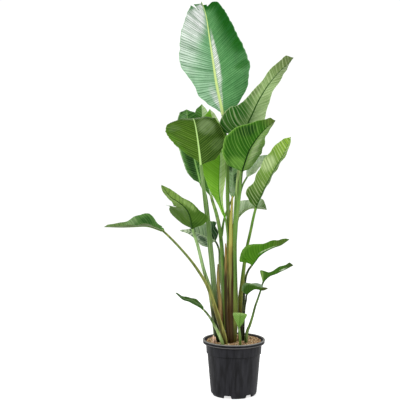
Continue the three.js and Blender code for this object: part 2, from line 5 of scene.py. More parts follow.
import bpy
import numpy as np
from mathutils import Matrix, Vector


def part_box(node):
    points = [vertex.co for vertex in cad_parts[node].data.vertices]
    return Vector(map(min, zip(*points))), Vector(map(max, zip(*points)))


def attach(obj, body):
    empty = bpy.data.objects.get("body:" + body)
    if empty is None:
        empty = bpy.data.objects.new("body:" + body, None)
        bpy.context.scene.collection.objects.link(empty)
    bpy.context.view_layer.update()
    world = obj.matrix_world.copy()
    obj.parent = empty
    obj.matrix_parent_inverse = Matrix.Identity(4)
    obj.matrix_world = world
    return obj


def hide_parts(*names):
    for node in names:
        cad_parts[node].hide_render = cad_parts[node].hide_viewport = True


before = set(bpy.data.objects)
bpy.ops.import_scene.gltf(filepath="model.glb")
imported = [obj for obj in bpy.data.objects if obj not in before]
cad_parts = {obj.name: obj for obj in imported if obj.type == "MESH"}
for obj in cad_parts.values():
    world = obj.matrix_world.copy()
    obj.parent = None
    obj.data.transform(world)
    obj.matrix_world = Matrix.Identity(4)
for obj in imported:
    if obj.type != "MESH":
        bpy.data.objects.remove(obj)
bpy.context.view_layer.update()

# The pot
# A black polypropylene nursery pot, injection moulded in one piece. It tapers, and has a rolled rim,
# a collar with a small step, faint upright ribs below it and drain notches round the foot.
MM = 0.001


class Value:
    """A socket of a material's node tree. Arithmetic on it adds Math nodes."""

    def __init__(self, paint, socket):
        self.paint = paint
        self.socket = socket

    def math(self, operation, *others):
        """A Math node that takes this value first."""
        inputs = dict(enumerate((self, *others)))
        return self.paint.node("ShaderNodeMath", {"operation": operation}, inputs)

    def turned(self, operation, other):
        """A Math node that takes this value second, for the reflected operators."""
        return self.paint.node("ShaderNodeMath", {"operation": operation}, {0: other, 1: self})

    def __add__(self, other):
        return self.math("ADD", other)

    def __sub__(self, other):
        return self.math("SUBTRACT", other)

    def __rsub__(self, other):
        return self.turned("SUBTRACT", other)

    def __mul__(self, other):
        return self.math("MULTIPLY", other)

    def __truediv__(self, other):
        return self.math("DIVIDE", other)

    def __pow__(self, other):
        return self.math("POWER", other)

    __radd__ = __add__
    __rmul__ = __mul__

    def smooth(self, low, high):
        """0 below low, 1 above high and a smooth step between them."""
        settings = {"interpolation_type": "SMOOTHSTEP"}
        return self.paint.node("ShaderNodeMapRange", settings, {0: self, 1: low, 2: high})


class Paint:
    """A procedural material that is built around one Principled BSDF."""

    def __init__(self, name, roughness, specular=0.5):
        self.material = bpy.data.materials.new(name)
        self.material.use_nodes = True
        self.tree = self.material.node_tree
        self.shader = self.tree.nodes["Principled BSDF"]
        self.shader.inputs["Roughness"].default_value = roughness
        self.shader.inputs["Specular IOR Level"].default_value = specular

    def node(self, kind, settings=None, inputs=None, output=0):
        """Adds one node: its settings come first, then the values or links of its sockets."""
        made = self.tree.nodes.new(kind)
        for key, value in (settings or {}).items():
            setattr(made, key, value)
        for key, value in (inputs or {}).items():
            if isinstance(value, Value):
                self.tree.links.new(value.socket, made.inputs[key])
            else:
                made.inputs[key].default_value = value
        return Value(self, made.outputs[output])

    def position(self):
        """Object coordinates as three values."""
        place = self.node("ShaderNodeTexCoord", output="Object")
        return self.split(place)

    def split(self, vector):
        """The three parts of a vector."""
        inputs = {0: vector}
        return [self.node("ShaderNodeSeparateXYZ", None, inputs, output=axis) for axis in range(3)]

    def map(self, name):
        """The two coordinates of one of the piece's own UV maps."""
        return self.split(self.node("ShaderNodeUVMap", {"uv_map": name}))[:2]

    def noise(self, scale, stretch=(1, 1, 1), detail=3, vector=None):
        """Noise from 0 to 1 on Object coordinates, or on the given vector."""
        if vector is None:
            vector = self.node("ShaderNodeTexCoord", output="Object")
        scaled = self.node("ShaderNodeMapping", None, {"Vector": vector, "Scale": stretch})
        return self.node("ShaderNodeTexNoise", None, {"Vector": scaled, "Scale": scale, "Detail": detail})

    def mix(self, factor, first, second):
        """The first colour where factor is 0, the second where it is 1."""
        inputs = {0: factor, 6: first, 7: second}
        return self.node("ShaderNodeMix", {"data_type": "RGBA"}, inputs, output=2)

    def colour(self, value):
        """Makes the value the base colour."""
        self.tree.links.new(value.socket, self.shader.inputs["Base Color"])

    def bump(self, height, strength, distance):
        """Lets the height bend the light as if the surface rose by it, times the distance."""
        normal = self.node(
            "ShaderNodeBump", None, {"Height": height, "Strength": strength, "Distance": distance}
        )
        self.tree.links.new(normal.socket, self.shader.inputs["Normal"])


def tint(code):
    """A colour as the eye reads it, written 0xrrggbb, turned linear."""
    parts = (code >> 16, code >> 8 & 255, code & 255)
    linear = [((c / 255 + 0.055) / 1.055) ** 2.4 if c > 10 else c / 3295 for c in parts]
    return (*linear, 1)


def grid_faces(rows, columns, closed):
    """Quads of a rows by columns grid of points. If it is closed, the last column meets the first."""
    index = np.arange(rows * columns).reshape(rows, columns)
    if closed:
        index = np.concatenate([index, index[:, :1]], axis=1)
    corners = (index[:-1, :-1], index[:-1, 1:], index[1:, 1:], index[1:, :-1])
    return np.stack(corners, axis=-1).reshape(-1, 4)


def make_piece(name, points, quads, paint, nodes, triangles=None, maps=None, marks=None, sharp=50):
    """One mesh object with its UV maps and point attributes, riding on the plant."""
    mesh = bpy.data.meshes.new(name)
    faces = quads.tolist() + ([] if triangles is None else triangles.tolist())
    mesh.from_pydata(points.reshape(-1, 3).tolist(), [], faces)
    mesh.polygons.foreach_set("use_smooth", np.ones(len(faces), dtype=bool))
    mesh.set_sharp_from_angle(angle=math.radians(sharp))
    corners = np.empty(len(mesh.loops), dtype=np.int32)
    mesh.loops.foreach_get("vertex_index", corners)
    for key, values in (maps or {}).items():
        layer = mesh.uv_layers.new(name=key)
        layer.data.foreach_set("uv", values.reshape(-1, 2)[corners].astype(np.float32).ravel())
    for key, values in (marks or {}).items():
        layer = mesh.attributes.new(key, "FLOAT", "POINT")
        layer.data.foreach_set("value", values.astype(np.float32).ravel())
    mesh.materials.append(paint.material)
    piece = bpy.data.objects.new(name, mesh)
    bpy.context.scene.collection.objects.link(piece)
    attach(piece, "root")
    if nodes:
        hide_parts(*nodes)
    return piece


pot_low, pot_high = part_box("pot")
pot_height = pot_high[2]
rim_radius = (pot_high[0] - pot_low[0]) / 2
wall = 2.5 * MM
pole_radius = 0.001 * MM
rim_height = 19 * MM
neck_radius = 134 * MM
collar_radius = 131.5 * MM
collar_bottom = 202 * MM
body_top_radius = 127 * MM
body_low_radius = 111 * MM
heel_height = 13 * MM
foot_radius = 104 * MM
foot_width = 5 * MM
boss_radius = 14 * MM
floor_raise = 15.5 * MM
pot_floor = 3 * MM
notch_count = 6
notch_first = math.radians(-108.6)
notch_half_width = 22 * MM
notch_height = 15 * MM
notch_edge = 4 * MM
tab_count = 6
tab_turn = 0.9
tab_drop = 3 * MM
rib_count = 72
rib_depth = 0.35 * MM
rib_top = 185 * MM
lip_radius = 5 * MM
step_reach = 3 * MM
rim_bottom = pot_height - rim_height


def pot_inside(z):
    """The radius of the pot's inner wall: a straight taper below the step, another above it."""
    below = np.interp(z, [heel_height, collar_bottom], [body_low_radius, body_top_radius])
    above = np.interp(z, [collar_bottom, rim_bottom], [collar_radius, neck_radius])
    return np.where(np.asarray(z) > collar_bottom, above, below) - wall


def fine_profile(corners, step):
    """The corner points of a profile with more points between them, about one step apart."""
    corners = np.array(corners)
    lengths = np.hypot(*np.diff(corners, axis=0).T)
    along = np.concatenate([[0], np.cumsum(lengths)])
    extra = [np.linspace(a, b, max(2, int((b - a) / step) + 1)) for a, b in zip(along[:-1], along[1:])]
    places = np.unique(np.concatenate(extra))
    return np.stack([np.interp(places, along, corners[:, k]) for k in range(2)], axis=1)


def step_between(value, low, high):
    """0 below low, 1 above high, and a smooth step between them."""
    f = np.clip((value - low) / (high - low), 0, 1)
    return f * f * (3 - 2 * f)


def turned(corners, step, sides):
    """A profile of corner points, refined, and turned round the axis: its angles, radii and heights."""
    profile = fine_profile(corners, step)
    angle = np.arange(sides) * 2 * math.pi / sides
    return angle, np.repeat(profile[:, :1], sides, axis=1), np.repeat(profile[:, 1:], sides, axis=1)


def pot_surface(sides):
    """The profile of the wall turned round the axis. Below the step the outside stands out in faint ribs.
    The step drops a little at every tab, and at every notch the foot ring is lifted into an arch."""
    roll = np.radians(np.arange(-80, 181, 20))
    lip_r, lip_z = rim_radius - lip_radius, pot_height - lip_radius
    lip = [(lip_r + lip_radius * math.cos(a), lip_z + lip_radius * math.sin(a)) for a in roll]
    inner_heights = (collar_bottom + step_reach, collar_bottom - step_reach, floor_raise + 8 * MM)
    inner_step = [(pot_inside(z), z) for z in inner_heights]
    corners = [
        (pole_radius, 0),
        (boss_radius, 0),
        (boss_radius, floor_raise),
        (foot_radius - foot_width, floor_raise),
        (foot_radius - foot_width, 0),
        (foot_radius, 0),
        (foot_radius + 4 * MM, 5 * MM),
        (body_low_radius, heel_height),
        (body_top_radius, collar_bottom - 1 * MM),
        (collar_radius, collar_bottom + 1 * MM),
        (neck_radius, rim_bottom - 4 * MM),
        (rim_radius - 7 * MM, rim_bottom - 1 * MM),
        (rim_radius - 2 * MM, rim_bottom + 1 * MM),
        (rim_radius - 1.5 * MM, pot_height - 11 * MM),
        *lip,
        (pot_inside(rim_bottom) + 2 * MM, pot_height - 9 * MM),
        *[(float(r), z) for r, z in [(pot_inside(rim_bottom), rim_bottom), *inner_step]],
        (foot_radius - wall, floor_raise + pot_floor),
        (pole_radius, floor_raise + pot_floor),
    ]
    angle, radius, height = turned(corners, 3 * MM, sides)
    outer = np.arange(len(height))[:, None] < np.argmax(height[:, 0])
    tabs = tab_drop * step_between(np.cos(tab_count * angle + tab_turn), 0.55, 0.75)
    near_step = np.exp(-(((height - collar_bottom) / (5 * MM)) ** 2)) * outer
    height = height - tabs * near_step
    body = step_between(height, 25 * MM, 50 * MM) * step_between(-height, -collar_bottom, -rib_top) * outer
    radius = radius + rib_depth * np.cos(rib_count * angle) ** 2 * body
    half_pitch = math.pi / notch_count
    side_way = np.abs((angle - notch_first + half_pitch) % (2 * half_pitch) - half_pitch) * body_low_radius
    arch = notch_height * (1 - step_between(side_way, notch_half_width - notch_edge, notch_half_width))
    foot = radius > foot_radius - foot_width - 1 * MM
    height = np.where(foot, np.maximum(height, arch), height)
    return np.stack([radius * np.cos(angle), radius * np.sin(angle), height], axis=-1)


pot_paint = Paint("black nursery pot plastic", 0.5, 0.1)
pot_grain = pot_paint.noise(60, (1, 1, 0.12))
pot_dust = pot_paint.noise(9, (1, 1, 0.4))
pot_z = pot_paint.position()[2]
pot_colour = pot_paint.mix(pot_grain.smooth(0.35, 0.65), tint(0x161618), tint(0x28282c))
pot_colour = pot_paint.mix(pot_dust.smooth(0.5, 0.85) * 0.6, pot_colour, tint(0x3e3e42))
# Painted light in four bands round the pot: a painted highlight along the top of the lip, another just above
# the lip's lower edge, painted shade in the groove under the rim, and painted shade along the step at the
# foot of the collar.
for line_z, line_reach, highlight_and_shade_tint, line_amount in [
    (pot_height - 1.5 * MM, 3 * MM, 0x969692, 0.9),
    (rim_bottom + 3 * MM, 2.5 * MM, 0x686664, 0.8),
    (rim_bottom - 3 * MM, 3.5 * MM, 0x040405, 0.9),
    (collar_bottom - 1.5 * MM, 2.5 * MM, 0x080809, 0.8),
]:
    pot_highlight_and_shade_band = 1 - (pot_z - line_z).math("ABSOLUTE").smooth(line_reach * 0.4, line_reach)
    pot_colour = pot_paint.mix(pot_highlight_and_shade_band * line_amount, pot_colour, tint(highlight_and_shade_tint))
pot_paint.colour(pot_colour)
pot_paint.bump(pot_paint.noise(180), 0.15, 0.4 * MM)
pot_sides = 360
pot_points = pot_surface(pot_sides)
pot_quads = grid_faces(len(pot_points), pot_sides, True)[:, ::-1]
make_piece("nursery_pot", pot_points, pot_quads, pot_paint, ["pot"], sharp=40)

# The soil
# One body of potting mix, with loose grains in three tints strewn on its top. It fills the pot to a
# little under the rim, and stays just clear of the wall.
soil_level = 260 * MM
soil_clearance = 0.6 * MM
soil_underside = 19 * MM
heel_inset = 12 * MM
heel_top = 26 * MM


def soft_bumps(x, y, count, size, seed):
    """A sum of sine waves in random directions, divided by the root of their count."""
    rng = np.random.default_rng(seed)
    total = np.zeros_like(x)
    for _ in range(count):
        heading = rng.uniform(0, 2 * math.pi)
        wave_length = size * rng.uniform(0.6, 1.6)
        phase = rng.uniform(0, 2 * math.pi)
        run = x * math.cos(heading) + y * math.sin(heading)
        total += np.sin(2 * math.pi * run / wave_length + phase)
    return total / math.sqrt(count)


def soil_surface(sides):
    """A turned profile: flat underneath, up along the pot's wall, and over the top, which is uneven."""
    edge = float(pot_inside(soil_level)) - soil_clearance
    corners = [
        (pole_radius, soil_underside),
        (float(pot_inside(heel_height)) - heel_inset, soil_underside),
        *[
            (float(pot_inside(z)) - soil_clearance, z)
            for z in (heel_top, collar_bottom - step_reach, collar_bottom + step_reach)
        ],
        (edge, soil_level - 2 * MM),
        (edge - 2 * MM, soil_level),
        (pole_radius, soil_level),
    ]
    angle, radius, height = turned(corners, 2.2 * MM, sides)
    x, y = radius * np.cos(angle), radius * np.sin(angle)
    top = step_between(height, soil_level - 4 * MM, soil_level)
    top = top * step_between(-radius, -edge, -edge + 8 * MM)
    rough = 1.1 * MM * soft_bumps(x, y, 14, 14 * MM, 3) + 0.9 * MM * soft_bumps(x, y, 10, 60 * MM, 4)
    return np.stack([x, y, height + rough * top], axis=-1)


def scatter_grains(count, spread, smallest, largest, seed):
    """Small eight-sided stones of random size and turn, lying on the soil as far out as the spread."""
    rng = np.random.default_rng(seed)
    form = np.array([[1, 0, 0], [0, 1, 0], [-1, 0, 0], [0, -1, 0], [0, 0, 1], [0, 0, -1]], float)
    sides = np.array([[k, (k + 1) % 4, 4] for k in range(4)] + [[(k + 1) % 4, k, 5] for k in range(4)])
    radius = np.sqrt(rng.uniform(0, spread**2, count))
    angle = rng.uniform(0, 2 * math.pi, count)
    size = rng.uniform(smallest, largest, (count, 1, 3))
    turn = rng.uniform(0, 2 * math.pi, (count, 1))
    scaled = form[None] * size
    x = scaled[..., 0] * np.cos(turn) - scaled[..., 2] * np.sin(turn)
    z = scaled[..., 0] * np.sin(turn) + scaled[..., 2] * np.cos(turn)
    middle_z = soil_level + rng.uniform(-0.5 * MM, 1.2 * MM, count)
    points = np.stack([x, scaled[..., 1], z], axis=-1)
    points += np.stack([radius * np.cos(angle), radius * np.sin(angle), middle_z], axis=-1)[:, None]
    triangles = (sides[None] + 6 * np.arange(count)[:, None, None]).reshape(-1, 3)
    return points.reshape(-1, 3), triangles


soil_paint = Paint("tan potting mix", 0.95, 0.15)
soil_coarse = soil_paint.noise(170, detail=6)
soil_patch = soil_paint.noise(25)
soil_colour = soil_paint.mix(soil_coarse.smooth(0.4, 0.6), tint(0x5c3e26), tint(0xe2bc8e))
soil_colour = soil_paint.mix(soil_patch.smooth(0.55, 0.8) * 0.6, soil_colour, tint(0xe4c496))
soil_paint.colour(soil_colour)
soil_paint.bump(soil_paint.noise(420, detail=5), 0.5, 1.2 * MM)
soil_sides = 240
soil_points = soil_surface(soil_sides)
soil_quads = grid_faces(len(soil_points), soil_sides, True)[:, ::-1]
make_piece("potting_mix", soil_points, soil_quads, soil_paint, ["soil"])

grain_edge = float(pot_inside(soil_level)) - 4 * MM
smallest_grain = 1.1 * MM
for grain_name, grain_tint, paler, grain_count, largest_grain in [
    ("tan_granules", 0xb2865c, 0xd4a87e, 2300, 3.0),
    ("light_granules", 0xf0d8ac, 0xffface, 1100, 3.3),
    ("dark_granules", 0x4e3422, 0x705644, 1000, 3.0),
]:
    grain_paint = Paint(grain_name.replace("_", " "), 0.9, 0.2)
    grain_mottle = grain_paint.noise(90).smooth(0.3, 0.7)
    grain_paint.colour(grain_paint.mix(grain_mottle, tint(grain_tint), tint(paler)))
    grain_points, grain_sides = scatter_grains(
        grain_count, grain_edge, smallest_grain, largest_grain * MM, len(grain_name)
    )
    no_quads = np.empty((0, 4), int)
    make_piece(grain_name, grain_points, no_quads, grain_paint, [], grain_sides, sharp=20)

# The top leaf
# The largest and newest open leaf, with its upper side to the front. Its stalk comes out of the main
# shoot. Near the tip the blade bends back, and its margin has torn into three lobes.
# The stations are the places along a blade, from its base to its tip, where its half widths are given.
STATIONS = np.array([0, 0.05, 0.15, 0.3, 0.5, 0.7, 0.85, 0.95, 1])
CURL_REACH = 150 * MM
TIP_HALF_WIDTH = 1.5 * MM
HALF_THICKNESS = 0.45 * MM
JOINT_GAP = 0.4 * MM
SPAN_STEPS = 40
RING_GAP = 9 * MM
CHANNEL_ANGLE = 0.55
STALK_CHANNEL = 0.2
VEIN_GAP = 12 * MM
SAG = 2.2 * MM
shoots = {"main": [], "left": [], "right": []}


def span_curve(a, b, c, d, f):
    """The Catmull-Rom curve from b to c, which lie between a and d."""
    bend = (2 * a - 5 * b + 4 * c - d) * f**2 + (3 * b - a - 3 * c + d) * f**3
    return 0.5 * (2 * b + (c - a) * f + bend)


def smooth_through(points, places):
    """A uniform Catmull-Rom curve through points, and its derivative. Place k is point k."""
    points = np.asarray(points, float)
    ends = np.concatenate([[2 * points[0] - points[1]], points, [2 * points[-1] - points[-2]]])
    span = np.clip(np.floor(places).astype(int), 0, len(points) - 2)
    f = (places - span)[:, None]
    a, b, c, d = (ends[span + k] for k in range(4))
    slope = 0.5 * ((c - a) + 2 * (2 * a - 5 * b + 4 * c - d) * f + 3 * (3 * b - a - 3 * c + d) * f**2)
    return span_curve(a, b, c, d, f), slope


def unit(vectors):
    """Each vector divided by its length."""
    return vectors / np.maximum(np.linalg.norm(vectors, axis=-1, keepdims=True), 1e-12)


def tube(path, beyond, facing, sides=24, groove=0.0):
    """A stalk: a circle carried along the smooth path, its radius from the path's fourth numbers, with a
    channel pressed into the side that faces the same way as the leaf's upper side."""
    stations = np.array([p[:3] for p in [*path, *beyond]], float) * MM
    spans = len(path) - 1
    run = np.linalg.norm(np.diff(stations[: spans + 1], axis=0), axis=1).sum()
    rings = max(12, int(run / RING_GAP))
    places = np.linspace(0, spans, rings)
    centre, slope = smooth_through(stations, places)
    along = unit(slope)
    radius = np.interp(places, np.arange(spans + 1), [p[3] * MM for p in path])
    across = np.array(facing, float)
    up = unit(across - (along @ across)[:, None] * along)
    side = np.cross(along, up)
    angle = np.arange(sides) * 2 * math.pi / sides
    around = (angle + math.pi) % (2 * math.pi) - math.pi
    reach = radius[:, None] * (1 - groove * np.exp(-((around / CHANNEL_ANGLE) ** 2)))
    rim = up[:, None] * np.cos(angle)[None, :, None] + side[:, None] * np.sin(angle)[None, :, None]
    points = centre[:, None] + reach[..., None] * rim
    length = np.concatenate([[0], np.cumsum(np.linalg.norm(np.diff(centre, axis=0), axis=1))])
    return points, length


def tube_mesh(tubes):
    """Several tubes as one mesh, each with a fan at both ends."""
    points, quads, triangles, marks, maps = [], [], [], [], []
    start = 0
    for surface, length, tone in tubes:
        rings, sides = surface.shape[:2]
        caps = np.stack([surface[0].mean(axis=0), surface[-1].mean(axis=0)])
        points += [surface.reshape(-1, 3), caps]
        quads.append(grid_faces(rings, sides, True) + start)
        ring = np.arange(sides)
        after = (ring + 1) % sides
        first_cap = start + rings * sides
        last = start + (rings - 1) * sides
        triangles.append(np.stack([start + after, start + ring, np.full(sides, first_cap)], axis=1))
        triangles.append(np.stack([last + ring, last + after, np.full(sides, first_cap + 1)], axis=1))
        marks.append(np.full(rings * sides + 2, tone))
        around = np.broadcast_to(ring / sides, (rings, sides))
        run = np.broadcast_to(length[:, None], (rings, sides))
        maps += [np.stack([around, run], axis=-1).reshape(-1, 2), np.array([[0, 0], [0, length[-1]]])]
        start += rings * sides + 2
    return [np.concatenate(part) for part in (points, quads, triangles, marks, maps)]


def half_widths(widths, stalk_radius, s, tears, side):
    """The half width along the blade: smooth through the widths at the stations, less the tears."""
    values = np.array([stalk_radius, *widths, 1.5], float) * MM
    span = np.clip(np.searchsorted(STATIONS, s, side="right") - 1, 0, len(STATIONS) - 2)
    f = (s - STATIONS[span]) / (STATIONS[span + 1] - STATIONS[span])
    padded = np.concatenate([values[:1], values, values[-1:]])
    width = span_curve(*(padded[span + k] for k in range(4)), f)
    kept = np.ones_like(s)
    for tear_side, at, depth, tear_reach in tears:
        if tear_side == side:
            kept -= depth * np.clip(1 - np.abs(s - at) / tear_reach, 0, 1)
    return np.maximum(width, TIP_HALF_WIDTH) * kept


def blade_midrib(leaf, rows):
    """Places on the midrib in even steps, from the joint to the tip: the share of its length so far, that
    length, the point, its direction, and the upper side's direction, which turns from base to tip."""
    path = np.array([p[:3] for p in [*leaf["stalk"], *leaf["rib"]]], float) * MM
    joint = len(leaf["stalk"]) - 1
    dense = np.linspace(0, len(path) - 1, SPAN_STEPS * (len(path) - 1) + 1)
    line, _ = smooth_through(path, dense)
    lengths = np.concatenate([[0], np.cumsum(np.linalg.norm(np.diff(line, axis=0), axis=1))])
    start = lengths[SPAN_STEPS * joint] + JOINT_GAP
    s = np.linspace(0, 1, rows)
    arc = start + (lengths[-1] - start) * s
    centre, slope = smooth_through(path, np.interp(arc, lengths, dense))
    along = unit(slope)
    base_face, tip_face = (np.array(face, float) / np.linalg.norm(face) for face in leaf["faces"])
    facing = base_face + (tip_face - base_face) * s[:, None]
    up = unit(facing - np.sum(facing * along, axis=1, keepdims=True) * along)
    return s, arc - start, centre, along, up


def half_blade(leaf, k, columns, midrib, ridge_depth):
    """One half: it leaves the midrib at the fold, turns by the curl and leans forward by the sweep. Its
    margin is ragged and waves. Gives its points, and each one's reach, share of the width and vein place."""
    s, run, centre, along, up = midrib
    side, sign = [("left", -1), ("right", 1)][k]
    wave_height, wave_count = leaf["waves"]
    width = half_widths(leaf[side], leaf["stalk"][-1][3], s, leaf.get("tears", []), side)
    flutter = np.random.default_rng(leaf["seed"] + k)
    for ripples in (7, 13, 22):
        phase = flutter.uniform(0, 2 * math.pi)
        width = width * (1 + leaf.get("ragged", 0.005) * np.sin(2 * math.pi * ripples * s + phase))
    ridge = np.minimum(ridge_depth * 1.1, 0.8 * width)
    near = np.array([0, 0.35, 0.7, 1.0])
    far = (np.arange(1, columns - 3) / (columns - 4)) ** 0.9
    beyond_ridge = ridge[:, None] + (width - ridge)[:, None] * far
    reach = np.concatenate([ridge[:, None] * near, beyond_ridge], axis=1)
    fraction = reach / width[:, None]
    fold = np.radians(np.interp(s, [0, 1], leaf["folds"][k]))[:, None]
    turn = math.radians(leaf["curls"][k]) / CURL_REACH
    turn = turn if abs(turn) > 1e-3 else 1e-3
    angle = fold + turn * reach
    out = (np.sin(angle) - np.sin(fold)) / turn
    rise = (np.cos(fold) - np.cos(angle)) / turn
    phase = 2 * math.pi * wave_count * s + k * 1.7
    wave = wave_height * MM * fraction**2 * (np.sin(phase) * np.sin(math.pi * s))[:, None]
    sweep = np.interp(s, [0, 1], leaf["sweeps"][k]) if "sweeps" in leaf else 0 * s
    sweep = sweep * np.minimum(s / STATIONS[1], 1)
    place = centre[:, None] + np.cross(along, up)[:, None] * (sign * out)[..., None]
    place = place + along[:, None] * (sweep[:, None] * out)[..., None]
    place = place + up[:, None] * (rise + wave)[..., None]
    lean = leaf.get("lean", 0.55)
    vein = run[:, None] - lean * reach - 0.25 * lean * reach**2 / width[:, None].max()
    return place, reach * sign, fraction * sign, vein


def blade_surface(leaf, rows, columns):
    """The upper and lower faces of a blade, and its two UV maps. Both halves meet on the midrib, shallow
    pleats run along the veins, and the blade sags a little between them. The midrib stands out below."""
    midrib = blade_midrib(leaf, rows)
    s, _, _, _, up = midrib
    stalk_radius = leaf["stalk"][-1][3]
    ridge_depth = (stalk_radius + (1 - stalk_radius) * np.sqrt(s)) * MM
    left, right = (half_blade(leaf, k, columns, midrib, ridge_depth) for k in range(2))
    flip = [part[:, ::-1][:, :-1] for part in left]
    middle, reach, fraction, vein = (np.concatenate([a, b], axis=1) for a, b in zip(flip, right))
    down_rows = np.gradient(middle, axis=0)
    down_columns = np.gradient(middle, axis=1)
    normal = unit(np.cross(down_columns, down_rows))
    normal *= np.where(np.sum(normal * up[:, None], axis=-1, keepdims=True) < 0, -1, 1)
    normal[0] = up[0]
    pleat = leaf.get("pleat", 0.7) * MM * np.sin(2 * math.pi * vein / leaf.get("vein_gap", VEIN_GAP))
    fade = step_between(np.abs(reach), 4 * MM, 22 * MM) * step_between(-np.abs(fraction), -1, -0.9)
    fade = fade * np.sin(math.pi * np.clip(s, 0, 1))[:, None] ** 0.3
    sag = SAG * soft_bumps(reach * 1.3, vein, 8, 90 * MM, leaf["seed"])
    sag = sag * step_between(np.abs(reach), 10 * MM, 60 * MM)
    middle = middle + normal * (pleat * fade + sag * fade)[..., None]
    inside = np.clip(1 - (np.abs(reach) / np.maximum(ridge_depth[:, None] * 1.1, 1e-6)) ** 2, 0, 1)
    ridge_under = np.sqrt(inside) * ridge_depth[:, None]
    ridge_upper = 0.9 * np.sqrt(inside) * ridge_depth[:, None] * np.clip(1 - s / 0.1, 0, 1)[:, None] ** 2
    upper = middle + normal * HALF_THICKNESS + up[:, None] * ridge_upper[..., None]
    lower = middle - normal * HALF_THICKNESS - up[:, None] * ridge_under[..., None]
    place_map = np.stack([0.5 + 0.5 * fraction, np.broadcast_to(s[:, None], fraction.shape)], axis=-1)
    vein_map = np.stack([reach, vein], axis=-1)
    return upper, lower, place_map, vein_map


def blade_paint(leaf):
    """Leaf colours: each side has a left and a right half, margins, a tip, veins, a midrib, painted shade in
    the pleat hollows, and patches, some of which are painted sheen.
    """
    paint = Paint(leaf["name"].replace("_", " ") + " skin", leaf.get("roughness", 0.36), 0.08)
    across, along = paint.map("place")
    reach, vein = paint.map("veins")
    vein_place = paint.node("ShaderNodeUVMap", {"uv_map": "veins"})
    mark = paint.node("ShaderNodeAttribute", {"attribute_name": "underside"}, output="Fac")
    blotch = paint.noise(14, detail=4)
    broad = paint.noise(1, (5, 75, 1), 3, vein_place)
    narrow = paint.noise(1, (9, 340, 1), 4, vein_place)
    off_rib = ((across - 0.5) * 2).math("ABSOLUTE")
    from_rib = reach.math("ABSOLUTE")
    turns = (vein / leaf.get("vein_gap", VEIN_GAP) + (broad - 0.5) * 1.1) * (2 * math.pi)
    vein_line = turns.math("SINE").smooth(0.5, 1.0) * (0.3 + 1.1 * narrow)
    # Painted shade in the hollow beside each vein line, so that the pleats look shaded.
    pleat_shade = (turns + 1.7).math("SINE").smooth(0.1, 1.0) * (0.4 + 0.8 * broad)
    rib_width = leaf["stalk"][-1][3] * MM * leaf.get("rib_scale", 0.75)
    rib_line = 1 - (from_rib / (1.15 - along)).smooth(rib_width * 0.6, rib_width)

    def side_colour(look):
        """The two halves' colours, with each layer mixed over them in turn."""
        layers = []
        if "edge" in look:
            layers.append((off_rib.smooth(0.55, 1.0) * look.get("edge_amount", 0.8), look["edge"]))
        if "tip" in look:
            layers.append((along.smooth(*look.get("tip_from", (0.6, 0.95))), look["tip"]))
        if "base" in look:
            layers.append((1 - along.smooth(0.02, look.get("base_to", 0.3)), look["base"]))
        # Each patch mixes one colour over an oval. Some are the leaf's own tones, and others are painted
        # sheen, painted highlights and painted light through a thin blade.
        for u, v, wide, long, patch, strength in look.get("patches_and_sheen", []):
            run = (((across - u) / wide) ** 2 + ((along - v) / long) ** 2) ** 0.5 + (narrow - 0.5) * 0.7
            layers.append(((1 - run.smooth(0.4, 1.0)) * strength, patch))
        shade = look.get("shade", look["right"])
        layers += [
            (broad.smooth(0.42, 0.66) * look.get("streak_amount", 0.45), shade),
            (pleat_shade * look.get("pleat_shade_amount", 0.35), shade),
            (blotch.smooth(0.45, 0.8) * look.get("blotch_amount", 0.3), shade),
            (narrow.smooth(0.5, 0.8) * 0.3, look["vein"]),
            (vein_line * look.get("vein_amount", 0.35), look["vein"]),
            (off_rib.smooth(0.96, 0.99) * 0.5, look.get("margin", look["vein"])),
            (rib_line, look["rib"]),
        ]
        colour = paint.mix(across.smooth(0.49, 0.51), tint(look["left"]), tint(look["right"]))
        for factor, layer in layers:
            colour = paint.mix(factor, colour, tint(layer))
        return colour

    paint.colour(paint.mix(mark.smooth(0.45, 0.55), side_colour(leaf["upper"]), side_colour(leaf["under"])))
    if "glow" in leaf:
        glow = paint.node("ShaderNodeBsdfTranslucent", None, {"Color": tint(leaf["glow"])})
        skin = Value(paint, paint.shader.outputs[0])
        both = paint.node("ShaderNodeMixShader", None, {0: 0.35, 1: skin, 2: glow})
        output = paint.tree.nodes["Material Output"]
        paint.tree.links.new(both.socket, output.inputs["Surface"])
    return paint


